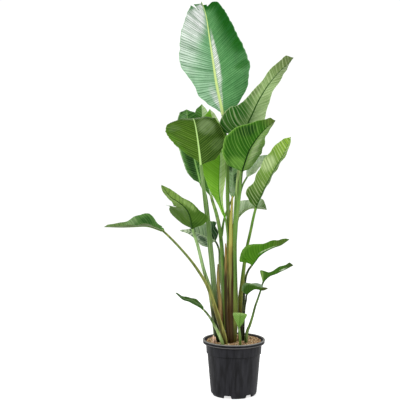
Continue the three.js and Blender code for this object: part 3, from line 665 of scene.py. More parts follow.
def add_leaf(rows, columns, **leaf):
    """One blade as a closed sheet: its two faces, and a strip along each margin, the base and the tip. Its
    stalk joins those of its shoot, or is a piece of its own.

    Points, radii, half widths, waves and pleats are in millimetres, angles in degrees, and vein_gap in
    metres. stalk has points with radii, and rib carries that path on through the blade. faces says where the
    upper side looks, at the base and at the tip. left and right are half widths, without the first and last
    station. folds and sweeps give each half, at its base and tip, the angle at which it leaves the midrib and
    how far it leans forward. curls is how far a half turns over CURL_REACH, and waves the height and number
    of a margin's waves. A tear is a side, a place along it, a share of the half width, which is negative
    where the margin bulges, and a reach. A patch is a place across and along, two sizes, a colour and a
    strength."""
    upper, lower, place_map, vein_map = blade_surface(leaf, rows, columns)
    width = upper.shape[1]
    count = rows * width
    index = np.arange(count).reshape(rows, width)
    top = grid_faces(rows, width, False)
    quads = [top, top[:, ::-1] + count]
    for line in (index[:, 0][::-1], index[:, -1], index[0], index[-1][::-1]):
        quads.append(np.stack([line[:-1], line[:-1] + count, line[1:] + count, line[1:]], axis=1))
    points = np.concatenate([upper.reshape(-1, 3), lower.reshape(-1, 3)])
    maps = {"place": np.concatenate([place_map, place_map]), "veins": np.concatenate([vein_map, vein_map])}
    make_piece(
        leaf["name"], points, np.concatenate(quads), blade_paint(leaf), [leaf["name"] + "_blade"],
        None, maps, {"underside": np.repeat([0.0, 1.0], count)},
    )
    stalk = tube(leaf["stalk"], leaf["rib"], leaf["faces"][0], groove=STALK_CHANNEL)
    stalk = (*stalk, leaf.get("tone", 0.0))
    if "shoot" in leaf:
        shoots[leaf["shoot"]].append(stalk)
    else:
        add_stalks("stalk_of_" + leaf["name"], [stalk], leaf["stalk_look"], leaf["name"] + "_stalk")


def stalk_paint(name, look):
    """Stalk colours by height, from the soil up, with streaks along the stalk and a tone for each one."""
    paint = Paint(name.replace("_", " ") + " skin", look.get("roughness", 0.42), 0.2)
    height = paint.position()[2]
    tone = paint.node("ShaderNodeAttribute", {"attribute_name": "tone"}, output="Fac")
    streak = paint.noise(70, (1, 1, 0.06), 4)
    blotch = paint.noise(12, (1, 1, 0.5), 3)
    uneven = height + (streak - 0.5) * 0.25 + (blotch - 0.5) * 0.25
    shifted = uneven - tone * look.get("tone_shift", 0.0)
    bands = look["bands"]
    colour = paint.mix(0.0, tint(bands[0][1]), tint(bands[0][1]))
    for (low, _), (high, band) in zip(bands[:-1], bands[1:]):
        colour = paint.mix(shifted.smooth(low, high), colour, tint(band))
    for own_tone, low, dark, high, light in look.get("own", []):
        own = paint.mix(uneven.smooth(low, high), tint(dark), tint(light))
        colour = paint.mix((tone - own_tone).math("ABSOLUTE").smooth(0.2, 0.3), own, colour)
    low_streak = tint(look.get("streak_low", look["streak"]))
    streak_tint = paint.mix(height.smooth(0.36, 0.62), low_streak, tint(look["streak"]))
    colour = paint.mix(streak.smooth(0.5, 0.72) * 0.6, colour, streak_tint)
    colour = paint.mix((1 - streak.smooth(0.3, 0.5)) * 0.65, colour, tint(look["dark"]))
    if "channel" in look:
        around = paint.map("around")[0]
        channel = (around * (2 * math.pi)).math("COSINE").smooth(0.2, 1.0) * look["channel_amount"]
        colour = paint.mix(channel, colour, tint(look["channel"]))
    paint.colour(colour)
    return paint


def add_stalks(name, tubes, look, node):
    """One or more stalks as one piece that replaces a node."""
    points, quads, triangles, marks, maps = tube_mesh(tubes)
    make_piece(
        name, points, quads, stalk_paint(name, look), [node], triangles,
        {"around": maps}, {"tone": marks}, sharp=65,
    )


add_leaf(
    name="leaf_top", rows=320, columns=22, seed=101, shoot="main",
    stalk=[
        [-26, -50, 214, 15], [-25, -50, 320, 17.5], [-27, -48, 412, 18.5], [-30, -45, 536, 17.5],
        [-27, -40, 645, 14], [-26, -34, 749, 10.5], [-28, -26, 844, 9.5], [-32, -16, 962, 9],
        [-33, -6, 1089, 8.5], [-41, 2, 1221, 8], [-55, 10, 1340, 7],
    ],
    rib=[
        [-84, 20, 1480], [-100, 36, 1584], [-118, 66, 1704], [-131, 98, 1796], [-143, 116, 1845],
        [-155, 132, 1879],
    ],
    faces=[[-0.05, -1, 0.1], [0, -0.55, 0.8]], left=[16, 60, 108, 146, 103, 62, 15],
    right=[80, 148, 172, 138, 99, 66, 8], folds=[[12, 12], [12, 12]], curls=[-22, -32], waves=[4, 3],
    tears=[
        ["left", 0.225, -0.12, 0.06], ["left", 0.4, -0.19, 0.1], ["left", 0.86, 0.45, 0.02],
        ["right", 0.26, -0.05, 0.05], ["right", 0.91, 0.4, 0.02],
    ],
    sweeps=[[-0.7, 1.5], [0, 1.3]], vein_gap=0.0088, ragged=0.006, tone=0.6, roughness=0.3,
    upper=dict(
        left=0x82bc86, right=0x6ca868, vein=0x185426, vein_amount=0.8, rib=0xd2e892, shade=0x36783c,
        streak_amount=0.4, pleat_shade_amount=0.2, margin=0x82b880,
        # The near-white and pale patches on the left half and beside the midrib are painted sheen. The dark
        # green ones darken the right margin, the tip and the upper left margin.
        patches_and_sheen=[
            (0.22, 0.82, 0.3, 0.3, 0xffffff, 0.9), (0.08, 0.62, 0.3, 0.34, 0xfcfffc, 0.8),
            (0.2, 0.3, 0.4, 0.4, 0xbee0c0, 0.5), (0.36, 0.08, 0.17, 0.22, 0xf0faf2, 0.85),
            (0.555, 0.46, 0.055, 0.3, 0xfcfff8, 0.95), (0.54, 0.2, 0.03, 0.2, 0xe8f2e2, 0.6),
            (1.04, 0.7, 0.44, 0.5, 0x145800, 1.0), (0.98, 0.44, 0.2, 0.08, 0x1a6404, 0.85),
            (0.9, 0.3, 0.16, 0.04, 0x286c14, 0.7), (0.86, 0.95, 0.42, 0.14, 0x165a00, 1.0),
            (0.3, 1.0, 0.5, 0.07, 0x124808, 0.9), (0.0, 0.88, 0.14, 0.14, 0x3c7c32, 0.9),
        ],
    ),
    under=dict(left=0x6e965a, right=0x699155, vein=0xa5c38c, rib=0x82a550, shade=0x557d41), lean=0.1,
    rib_scale=1.15,
)

# The upper right leaf
# It leans away to the right with its pale, pleated underside to the front. Its lower left part is in deep
# green and its narrow tip curls over.
add_leaf(
    name="leaf_upper_right", rows=260, columns=18, seed=102, shoot="main",
    stalk=[
        [-7, -48, 214, 14], [1, -48, 344, 16], [3, -48, 440, 16.5], [1, -46, 560, 14], [0, -44, 703, 12],
        [4, -42, 864, 9.5], [12, -38, 987, 8.5], [23, -34, 1091, 8], [40, -30, 1166, 7.5],
        [54, -25, 1227, 7],
    ],
    rib=[
        [62, -35, 1297], [82, -45, 1344], [107, -58, 1400], [137, -72, 1453], [170, -85, 1500],
        [206, -95, 1541], [242, -92, 1574], [270, -70, 1604],
    ],
    faces=[[-0.1, 1, 0.1], [-0.5, 0.6, 0.6]], left=[70, 90, 82, 68, 66, 60, 44],
    right=[120, 129, 76, 42, 37, 37, 33], folds=[[20, 22], [9, 50]], curls=[5, 10], waves=[5, 4],
    vein_gap=0.019, pleat=1.5, tone=-1.0,
    upper=dict(left=0x46823c, right=0x3c7832, vein=0x6ea564, rib=0xb4d282),
    under=dict(
        left=0x96b474, right=0x8ca86a, vein=0xd2e6ac, rib=0x244e08, shade=0x608438, tip=0x607240,
        tip_from=(0.55, 0.9), pleat_shade_amount=0.15, streak_amount=0.3,
        patches_and_sheen=[
            (0.16, 0.1, 0.4, 0.3, 0xc8e2a4, 0.9), (0.94, 0.16, 0.56, 0.36, 0x0c5600, 1.0),
            (0.62, 0.0, 0.3, 0.12, 0x206006, 0.8), (0.86, 0.5, 0.2, 0.1, 0x5c6c42, 0.6),
        ],
    ),
)

# The middle left leaf
# A broad leaf on the left shoot that shows its upper side. It bends back over its own top edge.
add_leaf(
    name="leaf_middle_left", rows=260, columns=20, seed=103, shoot="left",
    stalk=[
        [-69, -12, 214, 12], [-77, -20, 363, 12.5], [-90, -30, 461, 12], [-101, -42, 554, 11],
        [-107, -50, 627, 10.5], [-117, -60, 729, 10.5], [-124, -70, 825, 10], [-135, -76, 901, 9],
        [-142, -80, 962, 8.5], [-149, -84, 1028, 8], [-159, -88, 1108, 7],
    ],
    rib=[
        [-170, -90, 1201], [-182, -78, 1279], [-191, -55, 1315], [-197, -28, 1322], [-201, -4, 1304],
        [-205, 8, 1268], [-208, 12, 1222],
    ],
    faces=[[-0.05, -1, 0.15], [0, 0.35, 1]], left=[14, 58, 110, 145, 124, 80, 35],
    right=[70, 104, 128, 114, 90, 64, 32], folds=[[8, 8], [8, 8]], curls=[-45, -30], waves=[4, 5],
    vein_gap=0.0105, pleat=0.6, ragged=0.006,
    upper=dict(
        left=0x406412, right=0x2e4c10, vein=0x82a648, vein_amount=0.5, rib=0xb8dc86, shade=0x1e3c04,
        blotch_amount=0.6, pleat_shade_amount=0.1,
        # The three greyish green patches on the right half are painted sheen.
        patches_and_sheen=[
            (0.72, 0.48, 0.24, 0.14, 0x829a68, 0.8), (0.86, 0.24, 0.2, 0.1, 0x648048, 0.65),
            (0.66, 0.66, 0.14, 0.1, 0x748e58, 0.65), (0.95, 0.4, 0.12, 0.1, 0x1a3206, 0.8),
            (0.04, 0.3, 0.12, 0.4, 0x4c8018, 0.4),
        ],
    ),
    under=dict(left=0x6e9b4b, right=0x699646, vein=0xa0be78, rib=0x82aa50),
)

# The middle right leaf
# Its dark, pleated underside faces the front, with a dark midrib and a paler right half.
add_leaf(
    name="leaf_middle_right", rows=260, columns=18, seed=104, shoot="main",
    stalk=[
        [2, -49, 700, 7], [6, -56, 780, 7.5], [11, -60, 866, 8], [22, -66, 961, 7.5], [28, -71, 1032, 7],
        [33, -75, 1077, 6.5],
    ],
    rib=[
        [44, -80, 1113], [65, -92, 1173], [88, -102, 1213], [120, -112, 1256], [153, -115, 1289],
        [186, -105, 1314],
    ],
    faces=[[-0.35, 0.85, 0.3], [-0.5, 0.6, 0.6]], left=[40, 59, 86, 87, 52, 44, 24],
    right=[80, 110, 134, 132, 80, 42, 26], folds=[[10, 12], [5, 35]], curls=[10, -10], waves=[4, 5],
    vein_gap=0.0155, pleat=1.3, tone=-0.1,
    upper=dict(left=0x508c46, right=0x4b873e, vein=0x78af69, rib=0xb9d78c),
    under=dict(
        left=0x789a50, right=0x285e02, vein=0x86b452, vein_amount=0.4, rib=0x0e2e00, shade=0x124200,
        tip=0x586a2c, tip_from=(0.75, 0.98), pleat_shade_amount=0.1, streak_amount=0.3, margin=0x96c45c,
        patches_and_sheen=[
            (0.64, 0.08, 0.34, 0.18, 0x689838, 0.85), (0.3, 0.4, 0.16, 0.34, 0xa4ba84, 0.85),
            (1.0, 0.4, 0.06, 0.6, 0x60962c, 0.6), (0.8, 0.62, 0.22, 0.16, 0x0a3800, 0.9),
        ],
    ),
)

# The small leaf behind it
# A small bluish leaf on a thin stalk of the main shoot, half hidden on the right.
add_leaf(
    name="leaf_back_right_small", rows=90, columns=10, seed=105, shoot="main",
    stalk=[[5, -38, 800, 6], [18, -12, 906, 5.5], [35, 10, 993, 5], [62, 30, 1044, 4]],
    rib=[[90, 28, 1087], [118, 24, 1116], [142, 20, 1135], [165, 18, 1147]],
    faces=[[-0.3, -0.75, 0.6], [-0.3, -0.6, 0.75]], left=[10, 20, 30, 34, 28, 18, 9],
    right=[10, 20, 32, 36, 30, 20, 10], folds=[[10, 10], [10, 10]], curls=[-10, -10], waves=[2, 2],
    vein_gap=0.009,
    upper=dict(
        left=0xecf8de, right=0xe2f0ca, vein=0xf0f8e6, vein_amount=0.3, rib=0xc8deaa, shade=0x689856,
        tip=0x96b882, blotch_amount=0.6,
    ),
    under=dict(left=0x6e9664, right=0x6e9664, vein=0xa0be96, rib=0x5a8246),
)

# The long right leaf
# A long leaf of the right shoot, its yellow-green underside to the front, with a spike torn off its margin.
add_leaf(
    name="leaf_long_right", rows=220, columns=14, seed=106, shoot="right",
    stalk=[
        [38, 13, 214, 13], [33, 12, 356, 15.5], [33, 11, 454, 14.5], [39, 10, 527, 11.5], [47, 8, 609, 9],
        [59, 4, 697, 7.5], [78, -6, 789, 7], [90, -18, 852, 6.5], [102, -32, 904, 6],
    ],
    rib=[
        [116, -36, 940], [129, -40, 970], [149, -46, 1014], [166, -50, 1048], [184, -55, 1082],
        [205, -58, 1118], [233, -60, 1167], [261, -55, 1237],
    ],
    faces=[[-0.5, 0.75, 0.3], [-0.5, 0.7, 0.4]], left=[12, 25, 34, 36, 36, 34, 22],
    right=[50, 87, 72, 76, 72, 58, 30], folds=[[40, 20], [5, 15]], curls=[5, 5], waves=[4, 5],
    vein_gap=0.017, pleat=1.1, upper=dict(left=0x5a9646, right=0x55913e, vein=0x82b969, rib=0xbedc8c),
    under=dict(
        left=0x4e701e, right=0x7a9e42, vein=0xc4d896, vein_amount=0.5, rib=0x224c06, shade=0x446e14,
        base=0x224804, base_to=0.55, tip=0x90b838, patches_and_sheen=[(0.8, 0.58, 0.3, 0.14, 0xb6cc8e, 0.85)],
    ),
)

# The far left leaf
# It hangs out to the left on the longest side stalk, folded along its midrib like a boat.
add_leaf(
    name="leaf_far_left", rows=170, columns=12, seed=107,
    stalk=[
        [-38, -80, 214, 12], [-46, -82, 290, 13], [-60, -86, 335, 13.5], [-77, -90, 391, 12.5],
        [-98, -95, 457, 10.5], [-128, -103, 541, 8.5], [-168, -112, 611, 7.5], [-215, -124, 677, 6.5],
        [-276, -138, 748, 6], [-330, -150, 803, 5.5],
    ],
    rib=[
        [-343, -152, 808], [-375, -155, 820], [-400, -158, 827], [-425, -160, 829], [-472, -158, 826],
        [-526, -150, 823], [-606, -135, 823],
    ],
    faces=[[0.35, -0.1, 1], [0.1, 0, 1]], left=[22, 38, 48, 32, 26, 16, 12],
    right=[20, 30, 62, 46, 24, 18, 11], folds=[[20, 20], [62, 62]], curls=[15, 15], waves=[3, 4],
    vein_gap=0.011,
    # The pale yellow stripe along the stalk's channel is a painted highlight.
    stalk_look=dict(
        bands=[(0.25, 0x4e4616), (0.42, 0x605c20), (0.55, 0x687432), (0.75, 0x607a3c)], streak=0xb0aa5a,
        dark=0x2a300a, channel=0xc4c468, channel_amount=0.8,
    ),
    upper=dict(
        left=0x4a6a22, right=0x58863e, vein=0x8cb06c, rib=0xa0c46e, shade=0x24581c, tip=0x789650,
        tip_from=(0.45, 0.8),
        patches_and_sheen=[(0.75, 0.3, 0.2, 0.12, 0x1e5418, 0.8), (0.8, 0.55, 0.3, 0.14, 0x96b87a, 0.8)],
    ),
    under=dict(left=0x3e5416, right=0x425c1a, vein=0x68803e, rib=0x60802e, tip=0x50662c, shade=0x28400a),
)

# The dark leaf behind on the left
# It stands behind the middle left leaf, dark and glossy, and bends back at the top.
add_leaf(
    name="leaf_back_left", rows=180, columns=12, seed=108, shoot="left",
    stalk=[
        [-71, 0, 214, 9], [-86, 2, 455, 9], [-98, 8, 600, 8.5], [-112, 20, 743, 8], [-124, 38, 862, 7.5],
        [-134, 56, 942, 7], [-147, 70, 985, 6.5], [-160, 77, 1013, 6],
    ],
    rib=[
        [-183, 84, 1100], [-210, 90, 1220], [-223, 94, 1322], [-226, 106, 1363], [-229, 124, 1356],
        [-233, 136, 1316],
    ],
    faces=[[-0.2, -1, 0.15], [0, 0.2, 1]], left=[28, 50, 58, 64, 54, 38, 22],
    right=[30, 58, 71, 74, 66, 40, 22], folds=[[12, -30], [12, -30]], curls=[-20, -20], waves=[3, 4],
    vein_gap=0.011, roughness=0.24,
    upper=dict(
        left=0x4c7c34, right=0x548a3c, vein=0x8cb276, vein_amount=0.3, rib=0x96c46e, shade=0x0a3804,
        blotch_amount=0.6,
        patches_and_sheen=[
            (0.0, 0.5, 0.07, 0.7, 0xb0d096, 0.9), (0.3, 0.3, 0.2, 0.3, 0x082e06, 0.8),
            (0.8, 0.5, 0.3, 0.2, 0x7cac68, 0.6),
        ],
    ),
    under=dict(left=0x5a8746, right=0x558241, vein=0x8caf73, rib=0x6e964b),
)

# The upper leaf at the back
# A mid-green leaf behind the top leaf's stalk, seen between the two tall leaves.
add_leaf(
    name="leaf_back_upper", rows=150, columns=12, seed=109, shoot="main",
    stalk=[
        [-39, -50, 320, 10], [-44, -42, 463, 10.5], [-52, -26, 600, 10], [-58, -8, 698, 9.5],
        [-68, 24, 791, 9], [-84, 62, 865, 8.5], [-109, 112, 948, 7],
    ],
    rib=[[-126, 130, 1049], [-140, 142, 1170], [-149, 150, 1290], [-154, 158, 1391]],
    faces=[[0, -1, 0.2], [0, -1, 0.3]], left=[20, 40, 58, 66, 62, 48, 28],
    right=[25, 42, 57, 60, 52, 38, 20], folds=[[14, 14], [14, 14]], curls=[-10, -10], waves=[3, 3],
    tone=-1.3,
    upper=dict(
        left=0x689e42, right=0xd6eeb4, vein=0xbad6a8, vein_amount=0.3, rib=0xdef0c4, shade=0x1a520e,
        pleat_shade_amount=0.2,
    ),
    under=dict(left=0x649150, right=0x5f8c4b, vein=0x96b97d, rib=0x78a055),
)

# The young upright leaf
# The newest leaf of the shoot, half unrolled. It is thin, so the light comes through it bright green.
add_leaf(
    name="leaf_young_upright", rows=180, columns=14, seed=110, shoot="main",
    stalk=[[-28, -34, 650, 8], [-29, -37, 740, 6], [-35, -41, 800, 5], [-43, -44, 850, 4.5]],
    rib=[
        [-62, -36, 911], [-73, 2, 982], [-71, 38, 1071], [-69, 56, 1141], [-84, 74, 1245], [-116, 96, 1367],
    ],
    faces=[[0.1, -1, 0.1], [0.1, -1, 0.2]], left=[8, 18, 54, 100, 110, 70, 35],
    right=[8, 16, 34, 42, 40, 32, 18], folds=[[10, 10], [50, 28]], curls=[-5, 5], waves=[3, 3], pleat=0.4,
    glow=0x96d73c,
    upper=dict(
        left=0x9cd842, right=0xeefcb8, vein=0xcef082, vein_amount=0.45, rib=0x46920a, shade=0x56a208,
        base=0xb4de68, pleat_shade_amount=0.2, streak_amount=0.35,
        # The two near-white patches on the right half are painted light, standing for light that comes
        # through the thin blade.
        patches_and_sheen=[(0.95, 0.88, 0.5, 0.3, 0xfafadc, 0.95), (0.62, 0.35, 0.12, 0.4, 0xfaffd6, 0.8)],
    ),
    under=dict(left=0x6eaf32, right=0xa0cd5f, vein=0x96c850, rib=0x96c350),
)

# The narrow leaf at the back
# A dark, bluish leaf that shows in the gaps to the right of the trunk.
add_leaf(
    name="leaf_back_middle", rows=110, columns=10, seed=111, shoot="main",
    stalk=[[-60, 12, 763, 7], [-48, 30, 838, 5], [-28, 40, 895, 5], [-8, 45, 942, 4.5]],
    rib=[[-6, 48, 1000], [-5, 52, 1067], [-9, 58, 1143], [-19, 64, 1205]],
    faces=[[0, -1, 0.3], [0, -1, 0.5]], left=[12, 22, 30, 34, 30, 22, 12],
    right=[12, 22, 30, 34, 30, 22, 12], folds=[[12, 12], [12, 12]], curls=[-10, -10], waves=[2, 2],
    roughness=0.25,
    upper=dict(
        left=0xc4e2b4, right=0xaad294, vein=0xe6f2de, vein_amount=0.1, rib=0xbed6aa, shade=0x0c4008,
        streak_amount=0.3, blotch_amount=0.95, pleat_shade_amount=0.0,
        patches_and_sheen=[
            (0.3, 0.62, 0.35, 0.2, 0x083c18, 0.9), (0.75, 0.35, 0.3, 0.16, 0x083c14, 0.85),
            (0.5, 0.14, 0.4, 0.1, 0xecf6e6, 0.7),
        ],
    ),
    under=dict(left=0x507d4b, right=0x507d4b, vein=0x82a578, rib=0x648c4b),
)

# The low leaf at the back right
# A pale grey-green leaf behind the long right leaf, folded over its midrib, with an olive margin.
add_leaf(
    name="leaf_low_back_right", rows=110, columns=10, seed=112, shoot="main",
    stalk=[[5, -36, 750, 6], [10, -5, 803, 5], [20, 32, 845, 4.5]],
    rib=[[38, 30, 869], [62, 27, 887], [86, 24, 895], [124, 20, 893], [156, 16, 889]],
    faces=[[-0.2, -0.3, 1], [0.1, -0.3, 1]], left=[24, 48, 55, 42, 48, 46, 20],
    right=[15, 25, 32, 30, 38, 40, 20], folds=[[60, 60], [35, 35]], curls=[0, 0], waves=[2, 3],
    upper=dict(
        left=0xe2f0d0, right=0xaac682, vein=0xecf4de, vein_amount=0.3, rib=0xb4d092, shade=0x689850,
        tip=0x547022, tip_from=(0.65, 0.92),
    ),
    under=dict(left=0x6e9246, right=0x587428, vein=0x8ca864, rib=0x789b50, tip=0x425818),
)

# The folded leaf on the left
# Its underside faces the front. The lower half is torn, so that a lobe ends in a spike of its own.
add_leaf(
    name="leaf_folded_left", rows=200, columns=16, seed=113, shoot="left",
    stalk=[
        [-78, -30, 214, 13], [-92, -48, 369, 15], [-104, -58, 457, 14], [-119, -66, 530, 10.5],
        [-134, -72, 578, 9], [-146, -78, 617, 8.5], [-160, -88, 676, 8], [-174, -98, 734, 7.5],
        [-186, -108, 773, 7], [-197, -118, 813, 6.5],
    ],
    rib=[
        [-206, -124, 859], [-220, -130, 896], [-241, -136, 922], [-270, -140, 944], [-300, -142, 965],
        [-340, -140, 1018],
    ],
    faces=[[0.5, 0.8, 0.35], [0.35, 0.7, 0.6]], left=[55, 85, 54, 36, 34, 26, 10],
    right=[80, 146, 134, 52, 28, 25, 13], folds=[[14, 14], [14, 14]], curls=[10, 10], waves=[3, 3],
    tears=[["right", 0.36, -0.35, 0.03], ["right", 0.43, 0.45, 0.04]], sweeps=[[0, 0], [0.1, 0.7]],
    tone=0.2, upper=dict(left=0x508732, right=0x4b822d, vein=0x78aa55, rib=0xaacd6e),
    under=dict(
        left=0x3c6012, right=0x426214, vein=0x688a3c, vein_amount=0.3, rib=0x1e4004, shade=0x2a4a06,
        tip=0x789846, tip_from=(0.25, 0.6), pleat_shade_amount=0.25,
        patches_and_sheen=[(0.4, 0.05, 0.3, 0.1, 0x224602, 0.8), (0.2, 0.45, 0.2, 0.2, 0x90ae62, 0.8)],
    ),
)

# The low leaf at the back left
# A leaf with greyish patches behind the left stalks, on a thin stalk of its own.
add_leaf(
    name="leaf_back_low_left", rows=140, columns=12, seed=114,
    stalk=[
        [-47, -8, 214, 8], [-50, -6, 340, 7.5], [-53, -4, 432, 7], [-57, 2, 513, 6.5], [-66, 8, 580, 6],
        [-69, 18, 642, 5.5], [-71, 36, 692, 5], [-89, 62, 731, 4.5],
    ],
    rib=[[-119, 66, 744], [-153, 70, 761], [-197, 76, 775], [-260, 84, 781]],
    faces=[[-0.1, -1, 0.5], [-0.1, -1, 0.6]], left=[36, 48, 52, 38, 22, 10, 5],
    right=[48, 80, 84, 44, 18, 9, 5], folds=[[15, 15], [15, 15]], curls=[-10, -10], waves=[3, 3],
    stalk_look=dict(
        bands=[(0.25, 0x96a060), (0.5, 0xbace8c), (0.7, 0x466636)], streak=0xc4d2a0, dark=0x405424,
    ),
    upper=dict(
        left=0xd0e4c2, right=0xa6c492, vein=0xe2eed6, vein_amount=0.3, rib=0xbed6a6, shade=0x1e5022,
        streak_amount=0.9, blotch_amount=0.8, tip=0xcedeba, tip_from=(0.5, 0.8),
        patches_and_sheen=[
            (0.8, 0.12, 0.46, 0.26, 0x062c00, 1.0), (0.3, 0.34, 0.16, 0.2, 0x0e4024, 0.85),
            (0.16, 0.12, 0.12, 0.16, 0x164c2c, 0.7),
        ],
    ),
    under=dict(left=0x6e965f, right=0x69915a, vein=0xa0be91, rib=0x789b5a),
)

# The lowest left leaf
# A narrow, channelled leaf on a short stalk at the front left, with a dark hollow and lighter margins.
add_leaf(
    name="leaf_lowest_left", rows=110, columns=10, seed=115,
    stalk=[
        [-53, -102, 214, 9], [-57, -103, 270, 9], [-86, -116, 341, 7.5], [-119, -138, 403, 6],
        [-150, -160, 443, 5],
    ],
    rib=[[-174, -170, 460], [-195, -173, 471], [-216, -175, 482], [-243, -176, 491], [-276, -172, 521]],
    faces=[[0.3, 0, 1], [0.3, 0, 1]], left=[14, 20, 24, 22, 18, 12, 7], right=[14, 22, 26, 22, 16, 10, 6],
    folds=[[40, 40], [55, 55]], curls=[10, 10], waves=[2, 3], vein_gap=0.01, pleat=0.4,
    stalk_look=dict(
        bands=[(0.25, 0x8ca25c), (0.33, 0x809c54), (0.42, 0x3e5826)], streak=0xc4d49c, dark=0x486028,
    ),
    upper=dict(left=0x1c3e08, right=0x3c6022, vein=0x4c7032, rib=0x305416, shade=0x0c2802, edge=0x688a4c),
    under=dict(
        left=0x284c0e, right=0x2c5012, vein=0x4e7030, rib=0x385c1a, shade=0x102e04, edge=0x68864a,
        edge_amount=0.7,
    ),
)

# The paddle leaf on the right
# A bright green leaf, folded upwards, with a round base and a long narrow tip.
add_leaf(
    name="leaf_paddle_right", rows=170, columns=14, seed=116, shoot="right",
    stalk=[[43, 2, 214, 8], [44, -30, 415, 6.5], [50, -56, 550, 6], [61, -78, 604, 5.5], [80, -94, 637, 5]],
    rib=[
        [98, -98, 661], [112, -101, 680], [133, -105, 698], [156, -108, 712], [184, -111, 725],
        [215, -113, 736], [253, -113, 762],
    ],
    faces=[[-0.5, 0.1, 0.85], [-0.3, 0.1, 0.95]], left=[60, 62, 42, 26, 20, 14, 7],
    right=[58, 76, 81, 45, 33, 27, 13], folds=[[80, 80], [62, 66]], curls=[0, 0], waves=[3, 3],
    sweeps=[[-0.2, 0], [-1.1, 0.3]], vein_gap=0.011, tone=0.6,
    upper=dict(left=0x5aa028, right=0x559b23, vein=0x78b446, rib=0x96c350),
    under=dict(
        left=0x427210, right=0x42760a, vein=0x68982c, rib=0x225404, shade=0x285600, tip=0x465c20,
        tip_from=(0.45, 0.8), pleat_shade_amount=0.2,
        # The narrow pale strip beside the midrib is a painted highlight.
        patches_and_sheen=[(0.56, 0.5, 0.035, 0.25, 0xc8d6b0, 0.8), (0.98, 0.3, 0.1, 0.4, 0x6e983a, 0.6)],
    ),
)

# The upper small leaf on the right
# A small folded leaf at the end of a long thin stalk that leans out to the right.
add_leaf(
    name="leaf_small_right_upper", rows=110, columns=10, seed=117,
    stalk=[
        [51, -55, 214, 9], [60, -55, 308, 8], [74, -56, 347, 7], [87, -58, 391, 6], [98, -61, 435, 5.5],
        [112, -64, 477, 5], [123, -68, 512, 4.5], [134, -74, 551, 4],
    ],
    rib=[
        [149, -76, 571], [168, -79, 586], [195, -82, 596], [216, -85, 607], [240, -87, 618],
        [275, -87, 637],
    ],
    faces=[[-0.4, 0.3, 0.85], [-0.3, 0.1, 0.9]], left=[12, 34, 16, 24, 22, 20, 16],
    right=[12, 52, 17, 26, 24, 23, 22], folds=[[58, 58], [58, 58]], curls=[0, 0], waves=[2, 3],
    sweeps=[[0.1, 0], [0.35, 0]], vein_gap=0.01,
    stalk_look=dict(
        bands=[(0.25, 0x304212), (0.33, 0x547028), (0.5, 0x3e601e)], streak=0x8aa458, dark=0x1e300a,
    ),
    upper=dict(left=0x509628, right=0x4b9123, vein=0x6eaa46, rib=0x8cb950),
    under=dict(
        left=0x346410, right=0x386210, vein=0x5c8834, rib=0x1e4808, shade=0x1e4a04, tip=0x36461e,
        tip_from=(0.65, 0.95),
        # The pale grey patch towards the tip is a painted highlight.
        patches_and_sheen=[(0.9, 0.1, 0.3, 0.12, 0x96ba60, 0.7), (0.6, 0.7, 0.1, 0.15, 0xced8be, 0.8)],
    ),
)

# The lower small leaf on the right
# A small leaf folded along its midrib. Its far half shows pale grey above the dark near half.
add_leaf(
    name="leaf_small_right_lower", rows=110, columns=10, seed=118, shoot="right",
    stalk=[[45, -8, 214, 7], [45, -30, 340, 6], [48, -60, 423, 5], [54, -78, 468, 4.5], [57, -92, 497, 4]],
    rib=[[72, -98, 514], [92, -106, 527], [111, -113, 527], [131, -118, 523], [154, -122, 532]],
    faces=[[-0.3, 0.3, 0.9], [-0.1, 0.1, 1]], left=[30, 40, 42, 32, 24, 17, 9],
    right=[32, 48, 52, 22, 20, 17, 9], folds=[[55, 55], [52, 52]], curls=[0, 0], waves=[2, 2],
    vein_gap=0.01, tone=0.6,
    upper=dict(left=0x96ac8e, right=0x5a8c3c, vein=0xbeccba, rib=0xa0be82, shade=0x60825a),
    under=dict(
        left=0x3c681a, right=0x2e5408, vein=0x54782a, rib=0x224608, shade=0x183a00, edge=0x96b080,
        edge_amount=0.7, tip=0x3e3c12, tip_from=(0.55, 0.9),
    ),
)

# The seedling leaf in front
# A small light green cup on a short stalk of its own, in front of the right shoot.
add_leaf(
    name="leaf_seedling_front", rows=80, columns=10, seed=119,
    stalk=[[27, -100, 214, 7], [26, -102, 293, 6.5], [21, -114, 344, 5]],
    rib=[[23, -120, 370], [24, -123, 391], [25, -124, 408], [26, -124, 418]],
    faces=[[0, 1, 0.2], [0, 1, 0.1]], left=[6, 11, 18, 25, 31, 34, 30], right=[6, 11, 18, 25, 31, 34, 30],
    folds=[[30, 10], [30, 10]], curls=[22, 22], waves=[1, 2], vein_gap=0.009, pleat=0.3,
    stalk_look=dict(
        bands=[(0.25, 0x5e702a), (0.3, 0x748e3e), (0.36, 0x58802e)], streak=0xbed096, dark=0x324c14,
    ),
    upper=dict(left=0x6eaa46, right=0x69a541, vein=0x8cbe64, rib=0x96c35a),
    under=dict(
        left=0x628c32, right=0x709642, vein=0xa0c276, vein_amount=0.4, rib=0x547c28, shade=0x427018,
        pleat_shade_amount=0.3, tip=0x90b064, tip_from=(0.72, 0.95),
    ),
)

